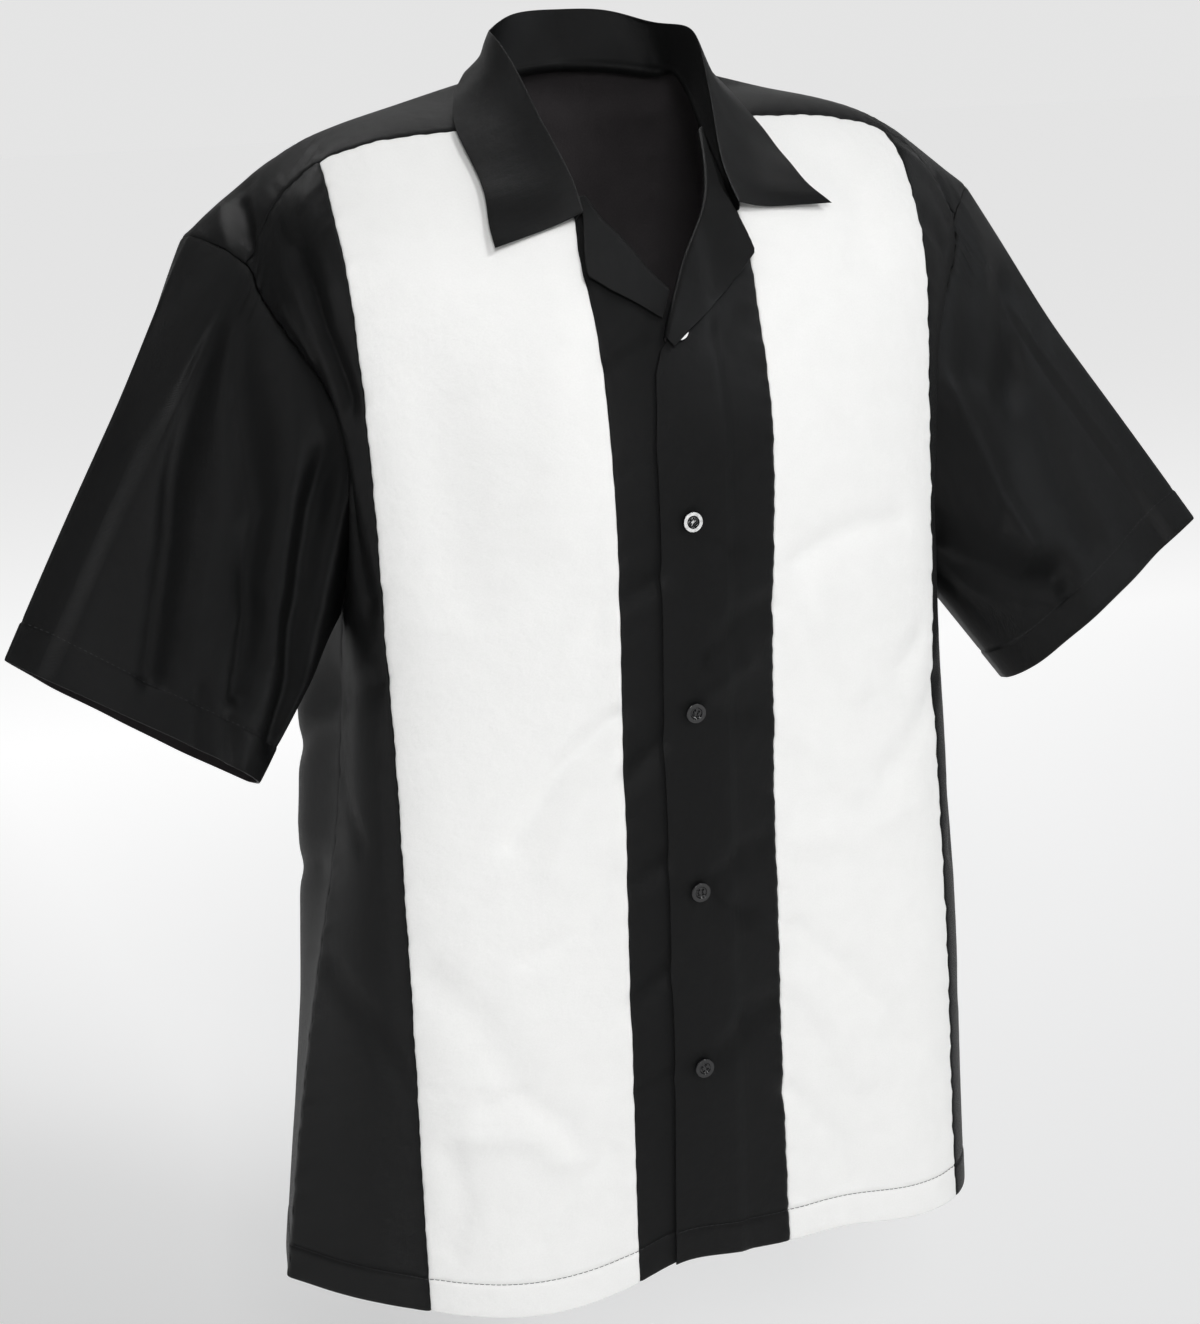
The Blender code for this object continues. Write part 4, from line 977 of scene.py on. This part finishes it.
def sleeve_net(side):
    """The sleeve's outer face as a grid, with each point's share of the way down and its distance
    to the hem's edge."""
    around, runs, is_front = armhole(side)
    hole = calm_body(around, runs)
    puckered = body(around, runs) - hole
    tall, top_length, under_length = sleeve_sizes()
    from_top = np.linalg.norm(hole - np.array(SLEEVE[0].top) * [side, 1, 1], axis=1)
    length = top_length + (under_length - top_length) * np.clip(from_top / tall, 0, 1)
    hem_share = 1 - SLEEVE_HEM / length
    above = spaced_shares(SLEEVE_UPPER)[:, None] * (hem_share - HEM_FADE / length)
    lower = [1 - (SLEEVE_HEM + STITCH_ROWS[1] - d) / length for d in STITCH_ROWS - STITCH_ROWS[0]]
    rest = [1 - d / length for d in SLEEVE_HEM_ROWS]
    shares = np.concatenate([above, lower, rest]).T
    from_edge = (1 - shares) * length[:, None]
    points = sleeve_surface(side, hole, is_front, shares)
    reach = np.exp(-shares * length[:, None] / PUCKER_REACH)
    return points + puckered[:, None] * reach[..., None], shares, from_edge


def sleeve(name, side, look):
    """A sleeve from its armhole to its hem, as one tube."""
    points, shares, from_edge = sleeve_net(side)
    round_it = lengths_along(points[:, 0])
    flat = np.stack(np.broadcast_arrays(round_it[:, None], -from_edge), axis=-1)
    lift = hem_relief(from_edge, SLEEVE_HEM) + seam_dip(shares * SLEEVE_LENGTH)
    wall = np.where(from_edge < SLEEVE_HEM, HEM_WALL, WALL)
    if side < 0:
        points, flat, lift, wall = points[::-1], flat[::-1], lift[::-1], wall[::-1]
    return shell(name, points, flat, *look, lift=lift, wall=wall, closed=True)


def collar(name, look):
    """Stand and fall in one folded piece, from one front end round the back to the other."""
    knots = [row.share for row in COLLAR]
    shares = np.concatenate([np.linspace(0, 1, NECK_POINTS)[:-1], END_SHARES])
    numbers = shares * (NECK_POINTS - 1)
    rows = []
    for side in (-1, 1):
        over, beside, inside = (
            read_along(numbers, np.arange(NECK_POINTS), line) for line in neckline(side)
        )
        roll = spline(knots, [row.roll for row in COLLAR], shares) * [side, 1, 1]
        on = [row.left if side > 0 else row.right for row in COLLAR]
        edge_around, edge_run = spline(knots, on, shares).T
        lift = np.interp(shares, knots, [row.lift for row in COLLAR])
        edge = over_body(side * edge_around, edge_run, lift)
        half = [
            np.concatenate([[hidden, (hidden + turn) / 2, turn], collar_section(*ends)])
            for hidden, turn, *ends in zip(inside, beside, over, roll, edge)
        ]
        rows += half[::-1] if side < 0 else half[1:]
    points = np.array(rows)
    along = lengths_along(points[:, CREST_COLUMN])
    down = lengths_along(points[len(points) // 2])
    flat = np.stack(np.meshgrid(along, down, indexing="ij"), axis=-1)
    return shell(name, points, flat, *look, lift=collar_crumple(flat), wall=COLLAR_WALL)


def collar_crumple(flat):
    """How far the collar's fall is crumpled at each place of its cut."""
    along, down = flat[..., 0], flat[..., 1]
    crumple = np.sin(61 * along + 40 * down) * np.sin(83 * down + 1.3)
    crumple += 0.6 * np.sin(140 * along - 75 * down + 0.7)
    return COLLAR_CRUMPLE * crumple * smooth(down, *FALL_START)


def tube_faces(first, rings, sides):
    """The squares of a tube whose rings of points are numbered from `first`."""
    return [
        (low + a, low + b, low + sides + b, low + sides + a)
        for low in range(first, first + (rings - 1) * sides, sides)
        for a, b in zip(range(sides), [*range(1, sides), 0])
    ]


def stitches(name, points, normals, thread):
    """A row of machine stitches along a line, each a short thread that dips into the cloth."""
    length = lengths_along(points)
    period = STITCH_LENGTH + STITCH_SPACE
    shares, heights, widths = np.array(STITCH).T
    angles = 2 * pi * np.arange(THREAD_SIDES) / THREAD_SIDES
    verts, faces = [], []
    for k in range(int(length[-1] / period)):
        at = (k + 0.5 * STITCH_SPACE / period) * period + STITCH_LENGTH * shares
        middle, up = (read_along(at, length, line) for line in (points, normals))
        along = middle[-1] - middle[0]
        across = np.cross(along / np.linalg.norm(along), up)
        faces += tube_faces(len(verts), len(STITCH), THREAD_SIDES)
        faces.append(tuple(range(len(verts), len(verts) + THREAD_SIDES))[::-1])
        for j in range(len(STITCH)):
            centre, reach = middle[j] + up[j] * heights[j], THREAD * widths[j]
            verts += [centre + reach * (cos(a) * across[j] + sin(a) * up[j]) for a in angles]
        faces.append(tuple(range(len(verts) - THREAD_SIDES, len(verts))))
    mesh = bpy.data.meshes.new(name)
    mesh.from_pydata(np.array(verts).tolist(), [], faces)
    mesh.materials.append(thread)
    mesh.shade_smooth()
    obj = placed(name, mesh)
    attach(obj, "root")


def hem_stitches(thread):
    """The stitched lines of the body hem and of both sleeve hems."""
    left_end = LEFT_FRONT_EDGE[0].around + 0.002
    right_end = left_end - 0.003
    for name, low, high, run, side in (
        ("left_front_hem_stitches", left_end, EDGE, BODY_HEM, 1),
        ("right_front_hem_stitches", -EDGE, right_end, BODY_HEM, -1),
        ("back_hem_stitches", -EDGE, EDGE, BACK_HEM - BODY_HEM, -1),
    ):
        u = np.linspace(low, high, 160)
        v = np.full(len(u), run)
        lift = overlap_lift(side, u) - STITCH_SINK
        points = on_body(u, v, lift)
        normals = on_body(u, v, lift + 0.001) - points
        normals /= np.linalg.norm(normals, axis=1, keepdims=True)
        stitches(name, points, normals, thread)
    for word, side in SIDES:
        points, _, from_edge = sleeve_net(side)
        column = np.abs(from_edge - SLEEVE_HEM).argmin(axis=1)
        normal = grid_normals(points, closed=True) * side
        ring = np.arange(len(points))
        line, up = points[ring, column], normal[ring, column]
        line, up = (np.concatenate([x, x[:1]]) for x in (line, up))
        stitches(f"{word}_sleeve_hem_stitches", line - STITCH_SINK * up, up, thread)


def node_maker(material):
    """A short way to add shader nodes: the kind, then settings as set_NAME, and inputs by their
    name or as iNUMBER."""
    tree = material.node_tree

    def add(kind, **inputs):
        made = tree.nodes.new(kind)
        for key, value in inputs.items():
            if key.startswith("set_"):
                setattr(made, key[4:], value)
                continue
            slot = made.inputs[int(key[1:]) if key[1:].isdigit() else key]
            if isinstance(value, bpy.types.NodeSocket):
                tree.links.new(value, slot)
            else:
                slot.default_value = value
        return made

    return add, tree


def maths(add, operation, first, second=0.0):
    """One step of arithmetic on shader values."""
    return add("ShaderNodeMath", set_operation=operation, i0=first, i1=second).outputs[0]


def new_material(name):
    """A material, what adds nodes to it, and its shader."""
    made = bpy.data.materials.new(name)
    made.use_nodes = True
    add, tree = node_maker(made)
    return made, add, tree, tree.nodes["Principled BSDF"]


def set_inputs(shader, values):
    """Sets a shader's own inputs by name."""
    for name, value in values.items():
        shader.inputs[name].default_value = value


def mixed(add, share, first, second):
    """A colour between two others."""
    made = add("ShaderNodeMix", set_data_type="RGBA", i0=share, i6=(*first, 1), i7=(*second, 1))
    return made.outputs[2]


# The finish of each face of the cloth: its darkest and lightest colour, then its shader's values.
Twill = namedtuple("Twill", "dark light roughness specular sheen bump")
BLACK_FACE = Twill((0.0026, 0.0027, 0.0028), (0.0056, 0.0058, 0.0060), 0.43, 0.16, 0.002, 0.6)
# The inside's colour is partly the purplish back of the cloth and partly painted light: it is made
# far lighter than the outer face, standing in for the light that reaches the inside back through
# the neck.
BLACK_INSIDE_WITH_PAINTED_LIGHT = Twill((0.030, 0.027, 0.0285), (0.048, 0.043, 0.045), 0.7, 0.12, 0.02, 0.6)
WHITE_FACE = Twill((0.78, 0.78, 0.77), (0.86, 0.86, 0.85), 0.6, 0.25, 0.05, 0.35)
# The weave, in radians for each metre of cloth: how slanted its ribs are, how fine the ribs and
# the threads across them are, and how much of the weave those threads make up.
RIB_SLANT, RIB_FINENESS, PICK_FINENESS, PICK_SHARE = 1.6, 7400.0, 15700.0, 0.35
# The unevenness of the cloth: the scale and the detail of its slubs, patches and crumples.
SLUB, PATCH, CRUMPLE = (900.0, 2.0), (55.0, 3.0), (95.0, 2.0)
# How much the slubs, patches and weave change the colour.
SLUB_TONE, PATCH_TONE, WEAVE_TONE = 0.6, 0.4, 0.06


def twill(name, cloth):
    """Twill: fine slanting ribs, slubs and a soft unevenness, with a dry sheen."""
    made, add, tree, shader = new_material(name)
    flat = add("ShaderNodeUVMap", set_uv_map="cut").outputs[0]
    split = add("ShaderNodeSeparateXYZ", Vector=flat)
    across, along = split.outputs[0], split.outputs[1]
    slanted = maths(add, "ADD", maths(add, "MULTIPLY", across, RIB_SLANT), along)
    rib = maths(add, "SINE", maths(add, "MULTIPLY", slanted, RIB_FINENESS))
    pick = maths(add, "SINE", maths(add, "MULTIPLY", along, PICK_FINENESS))
    weave = maths(add, "ADD", rib, maths(add, "MULTIPLY", pick, PICK_SHARE))
    noise = {"Vector": flat, "set_noise_dimensions": "2D"}
    slub, patch, crumple = (
        add("ShaderNodeTexNoise", Scale=scale, Detail=detail, **noise)
        for scale, detail in (SLUB, PATCH, CRUMPLE)
    )
    slub_tone = maths(add, "MULTIPLY", slub.outputs[0], SLUB_TONE)
    tone = maths(add, "ADD", slub_tone, maths(add, "MULTIPLY", patch.outputs[0], PATCH_TONE))
    tone = maths(add, "ADD", tone, maths(add, "MULTIPLY", weave, WEAVE_TONE))
    tree.links.new(mixed(add, tone, cloth.dark, cloth.light), shader.inputs["Base Color"])
    height = maths(add, "ADD", maths(add, "MULTIPLY", weave, 0.5), slub.outputs[0])
    fine = add("ShaderNodeBump", Height=height, Strength=cloth.bump, Distance=0.0002)
    wide = add("ShaderNodeBump", Height=crumple.outputs[0], Strength=0.5, Distance=0.0007)
    tree.links.new(fine.outputs[0], wide.inputs["Normal"])
    tree.links.new(wide.outputs[0], shader.inputs["Normal"])
    finish = {
        "Roughness": cloth.roughness,
        "Specular IOR Level": cloth.specular,
        "Sheen Weight": cloth.sheen,
        "Sheen Roughness": 0.35,
        "Sheen Tint": (0.92, 0.96, 1.0, 1),
    }
    set_inputs(shader, finish)
    return made


def plain(name, colour, roughness):
    """Thread or polished plastic, slightly uneven in its colour and gloss."""
    made, add, tree, shader = new_material(name)
    place = add("ShaderNodeTexCoord").outputs["Object"]
    noise = add("ShaderNodeTexNoise", Vector=place, Scale=700.0, Detail=2.0).outputs[0]
    tint = mixed(add, noise, colour, [1.35 * c for c in colour])
    tree.links.new(tint, shader.inputs["Base Color"])
    rough = maths(add, "ADD", maths(add, "MULTIPLY", noise, 0.1), roughness)
    tree.links.new(rough, shader.inputs["Roughness"])
    return made


# The turned section of a button, as shares of its radius and thickness.
BUTTON_SECTION = (
    (0.0, 0.0), (0.72, 0.0), (0.9, 0.1), (0.985, 0.32), (1.0, 0.5), (0.985, 0.72),
    (0.965, 0.87), (0.950, 0.96), (0.935, 0.99), (0.92, 1.0), (0.91, 1.0), (0.61, 1.0), (0.60, 1.0),
    (0.585, 0.985), (0.565, 0.93), (0.54, 0.80), (0.51, 0.73), (0.46, 0.70), (0.0, 0.68),
)
BUTTON_SIDES, HOLE_SIDES = 56, 18
HOLE_RADIUS = 0.00085
HOLE_OFFSET = 0.00135
# The bars of thread between the holes, three strands each: the height of the well's floor as a
# share of the button, how far a strand rises in the middle and dips into the holes, and its size.
WELL_FLOOR = 0.70
BAR_RISE, BAR_DIP = 0.0006, 0.0012
BAR_RINGS, BAR_REACH = 9, 1.1
STRAND_RADIUS, STRAND_SPACE = 0.00017, 0.0003
# How far each button is turned from the one above it, in radians.
BUTTON_TURN = 0.4


def lathe(name, section, sides):
    """A closed turned body from (radius, height) pairs that start and end on the axis."""
    verts = [(0, 0, section[0][1])]
    for radius, height in section[1:-1]:
        for k in range(sides):
            angle = 2 * pi * k / sides
            verts.append((radius * cos(angle), radius * sin(angle), height))
    verts.append((0, 0, section[-1][1]))
    faces = []
    for k in range(sides):
        after = (k + 1) % sides
        faces.append((0, 1 + after, 1 + k))
        for ring in range(len(section) - 3):
            low = 1 + ring * sides
            faces.append((low + k, low + after, low + sides + after, low + sides + k))
        last = 1 + (len(section) - 3) * sides
        faces.append((last + k, last + after, len(verts) - 1))
    mesh = bpy.data.meshes.new(name)
    mesh.from_pydata(verts, [], faces)
    return placed(name, mesh)


def strand(y):
    """Rings of points along one strand of thread, over a button from hole to hole."""
    points = []
    for share in np.linspace(-1, 1, BAR_RINGS):
        height = WELL_FLOOR * BUTTON_THICKNESS + BAR_RISE * (1 - share**2)
        height = height - BAR_DIP * abs(share) ** 6
        for k in range(THREAD_SIDES):
            angle = 2 * pi * k / THREAD_SIDES
            beside, above = STRAND_RADIUS * cos(angle), STRAND_RADIUS * sin(angle)
            points.append([share * HOLE_OFFSET * BAR_REACH, y + beside, height + above])
    return points


def button_mesh(gloss, thread):
    """A four-hole button, sewn on with two bars of thread."""
    section = [(r * BUTTON_RADIUS, h * BUTTON_THICKNESS) for r, h in BUTTON_SECTION]
    disc = lathe("button_disc", section, BUTTON_SIDES)
    depth = 2 * BUTTON_THICKNESS
    for x, y in ((1, 1), (1, -1), (-1, 1), (-1, -1)):
        pin = [(0, 0), (HOLE_RADIUS, 0), (HOLE_RADIUS, depth), (0, depth)]
        hole = lathe("hole", pin, HOLE_SIDES)
        hole.location = (x * HOLE_OFFSET, y * HOLE_OFFSET, 0.25 * BUTTON_THICKNESS)
        cut = disc.modifiers.new("hole", "BOOLEAN")
        cut.operation = "DIFFERENCE"
        cut.object = hole
        cut.solver = "EXACT"
    bpy.context.view_layer.update()
    graph = bpy.context.evaluated_depsgraph_get()
    drilled = bpy.data.meshes.new_from_object(disc.evaluated_get(graph))
    for obj in [o for o in bpy.data.objects if o.name.startswith(("button_disc", "hole"))]:
        bpy.data.objects.remove(obj, do_unlink=True)
    verts = [list(v.co) for v in drilled.vertices]
    faces = [list(p.vertices) for p in drilled.polygons]
    slots = [0] * len(faces)
    for y in (-HOLE_OFFSET, HOLE_OFFSET):
        for k in (-1, 0, 1):
            tube = tube_faces(len(verts), BAR_RINGS, THREAD_SIDES)
            verts += strand(y + STRAND_SPACE * k)
            faces += tube
            slots += [1] * len(tube)
    mesh = bpy.data.meshes.new("button")
    mesh.from_pydata(verts, [], faces)
    mesh.materials.append(gloss)
    mesh.materials.append(thread)
    mesh.polygons.foreach_set("material_index", slots)
    mesh.shade_smooth()
    mesh.set_sharp_from_angle(angle=pi / 4)
    return mesh


def button(number, mesh, x, run):
    """A button on the outer face of the wearer's left front."""
    around = around_at(x, run)
    heights = [0, OVERLAP_LIFT + SEAM_GAP]
    low, seat = on_body(np.array([around, around]), np.array([run, run]), heights)
    turn = Vector((0, 0, 1)).rotation_difference(Vector(seat - low)).to_matrix().to_4x4()
    spin = Matrix.Rotation(BUTTON_TURN * number, 4, "Z")
    own = mesh.copy()
    own.transform(Matrix.Translation(Vector(seat)) @ turn @ spin)
    obj = placed(f"button_{number}_look", own)
    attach(obj, "root")
    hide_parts(f"button_{number}")


# The camera: where it looks from and at, in degrees and metres, and its focal length and its
# picture's height in pixels.
AZIMUTH, ELEVATION, ROLL = -18.82, 13.345, -2.913
DISTANCE = 1.5041
TARGET = Vector((-0.0155, 0.0, -0.3705))
FOCAL_PIXELS = 2307.88
PICTURE_HEIGHT = 1324
SENSOR = 36


def camera():
    """The scene's camera, turned to its target."""
    a, e, r = (radians(x) for x in (AZIMUTH, ELEVATION, ROLL))
    away = Vector((sin(a) * cos(e), -cos(a) * cos(e), sin(e)))
    level = Vector((cos(a), sin(a), 0))
    upright = away.cross(level)
    right = level * cos(r) + upright * sin(r)
    up = away.cross(right)
    data = bpy.data.cameras.new("camera")
    data.sensor_width = SENSOR
    data.lens = FOCAL_PIXELS * SENSOR / PICTURE_HEIGHT
    data.clip_start = 0.01
    obj = placed("camera", data)
    turn = Matrix((right, up, away)).transposed().to_4x4()
    obj.matrix_world = Matrix.Translation(TARGET + away * DISTANCE) @ turn
    bpy.context.scene.camera = obj


# The studio's square softboxes: their places and sizes in metres, and their power in watts.
Light = namedtuple("Light", "name place size power colour")
WHITE = (1, 1, 1)
LIGHTS = (
    Light("key", (1.25, -2.6, 2.15), 0.8, 47, WHITE),
    Light("fill", (-0.80, -3.0, 1.0), 0.7, 42, WHITE),
    Light("glint", (0.963, -2.297, -0.724), 0.17, 2.3, WHITE),
    Light("side", (2.7, 0.3, 1.2), 0.8, 6, (0.88, 0.94, 1.0)),
    Light("back", (0.5, 2.4, 3.0), 1.2, 36, WHITE),
)
LIGHTS_AIM = Vector((0, 0, -0.4))


def soft_light(light):
    """A square softbox that faces the middle of the shirt."""
    data = bpy.data.lights.new(light.name, "AREA")
    data.size = light.size
    data.energy = light.power
    data.color = light.colour
    obj = placed(light.name, data)
    obj.location = light.place
    obj.rotation_euler = (LIGHTS_AIM - Vector(light.place)).to_track_quat("-Z", "Y").to_euler()
    obj.visible_camera = False


# The brightness of the studio: overhead, along the horizon, and of the paper behind, whose glow is
# painted light.
SKY, HORIZON, PAPER_GLOW = 0.32, 0.78, 0.464
# Where the light fades: how far to the left and right for each metre back, how far up and
# round the sky, and how many metres back on the paper.
LIT_LEFT, LIT_RIGHT = (-0.5, -0.05), (0.72, 1.2)
SKY_LOW, SKY_BEHIND = (0.08, 0.30), (0.2, 0.7)
PAPER_BEHIND = (0.2, 3.0)
# How far in front of the shirt the paper's fade to left and right starts from, and the nearest
# place that it is worked out for.
FADE_ORIGIN, FADE_NEAREST = 1.4, 0.05
FLOOR_REACH, FLOOR_LEVEL = 200.0, -1.15


def ramp(add, value, span, low=0.0, high=1.0):
    """A shader value that goes from `low` to `high` as another crosses a span."""
    return add("ShaderNodeMapRange", i0=value, i1=span[0], i2=span[1], i3=low, i4=high).outputs[0]


def lit_middle(add, across, back):
    """A share of light that fades out to both sides of the paper behind the shirt."""
    slant = maths(add, "DIVIDE", across, back)
    left = ramp(add, slant, LIT_LEFT)
    right = ramp(add, slant, LIT_RIGHT, 1.0, 0.0)
    return maths(add, "MULTIPLY", left, right)


def pale_sky():
    """A pale world, brighter low down behind the shirt."""
    world = bpy.data.worlds.new("studio")
    world.use_nodes = True
    add, tree = node_maker(world)
    background = tree.nodes["Background"]
    background.inputs[0].default_value = (1, 1, 1, 1)
    split = add("ShaderNodeSeparateXYZ", Vector=add("ShaderNodeTexCoord").outputs["Generated"])
    low = ramp(add, split.outputs[2], SKY_LOW, 1.0, 0.0)
    glow = maths(add, "MULTIPLY", low, ramp(add, split.outputs[1], SKY_BEHIND))
    back = maths(add, "MAXIMUM", split.outputs[1], FADE_NEAREST)
    glow = maths(add, "MULTIPLY", glow, lit_middle(add, split.outputs[0], back))
    tree.links.new(ramp(add, glow, (0.0, 1.0), SKY, HORIZON), background.inputs[1])
    bpy.context.scene.world = world


def paper_floor():
    """A pale paper floor under the shirt, with painted light: it glows brighter behind the shirt
    and fades to both sides.
    """
    paper, add, tree, shader = new_material("paper")
    finish = {
        "Base Color": (0.96, 0.96, 0.96, 1),
        "Roughness": 0.9,
        "Specular IOR Level": 0.0,
        "Emission Color": (1, 1, 1, 1),
    }
    set_inputs(shader, finish)
    split = add("ShaderNodeSeparateXYZ", Vector=add("ShaderNodeTexCoord").outputs["Object"])
    # Painted light: the paper's own glow grows farther behind the shirt and fades out to both
    # sides.
    glow = ramp(add, split.outputs[1], PAPER_BEHIND, 0.0, PAPER_GLOW)
    back = maths(add, "ADD", split.outputs[1], FADE_ORIGIN)
    back = maths(add, "MAXIMUM", back, FADE_NEAREST)
    glow = maths(add, "MULTIPLY", glow, lit_middle(add, split.outputs[0], back))
    tree.links.new(glow, shader.inputs["Emission Strength"])
    square = ((-1, -1), (1, -1), (1, 1), (-1, 1))
    corners = [(x * FLOOR_REACH, y * FLOOR_REACH, FLOOR_LEVEL) for x, y in square]
    mesh = bpy.data.meshes.new("floor")
    mesh.from_pydata(corners, [], [(0, 1, 2, 3)])
    mesh.materials.append(paper)
    placed("floor", mesh)


# The flat cut of the cloth that shows in each piece: its width, length and area.
Cut = namedtuple("Cut", "width length area")


def main():
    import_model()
    bpy.context.scene.view_settings.view_transform = "Standard"
    black = twill("black_twill_face", BLACK_FACE)
    # The inside's lighter colour is partly painted light, standing in for the light that reaches
    # the inside back.
    inside = twill("black_twill_inside", BLACK_INSIDE_WITH_PAINTED_LIGHT)
    white = twill("white_twill_face", WHITE_FACE)
    thread = plain("black_thread", (0.012, 0.012, 0.013), 0.45)
    gloss = plain("polished_black", (0.004, 0.004, 0.0045), 0.07)
    dark_look, white_look = (black, inside), (white, white)

    dress(back("back_look", dark_look), "back")
    for word, side in SIDES:
        for kind, make in (("centre_front", centre_front), ("lapel", lapel), ("sleeve", sleeve)):
            node = f"{word}_{kind}"
            dress(make(f"{node}_look", side, dark_look), node)
        for kind, low, high, look, slot in (
            ("side_front", OUTER, EDGE, dark_look, "black_twill"),
            ("white_panel", INNER, OUTER, white_look, "white_twill"),
        ):
            node = f"{word}_{kind}"
            dress(panel(f"{node}_look", side, low, high, look), node)
    dress(collar("collar_look", (black, black)), "collar")
    hem_stitches(thread)
    mesh = button_mesh(gloss, thread)
    for number, place in enumerate(BUTTONS, 1):
        button(number, mesh, *place)
    camera()
    pale_sky()
    paper_floor()
    for light in LIGHTS:
        soft_light(light)


main()
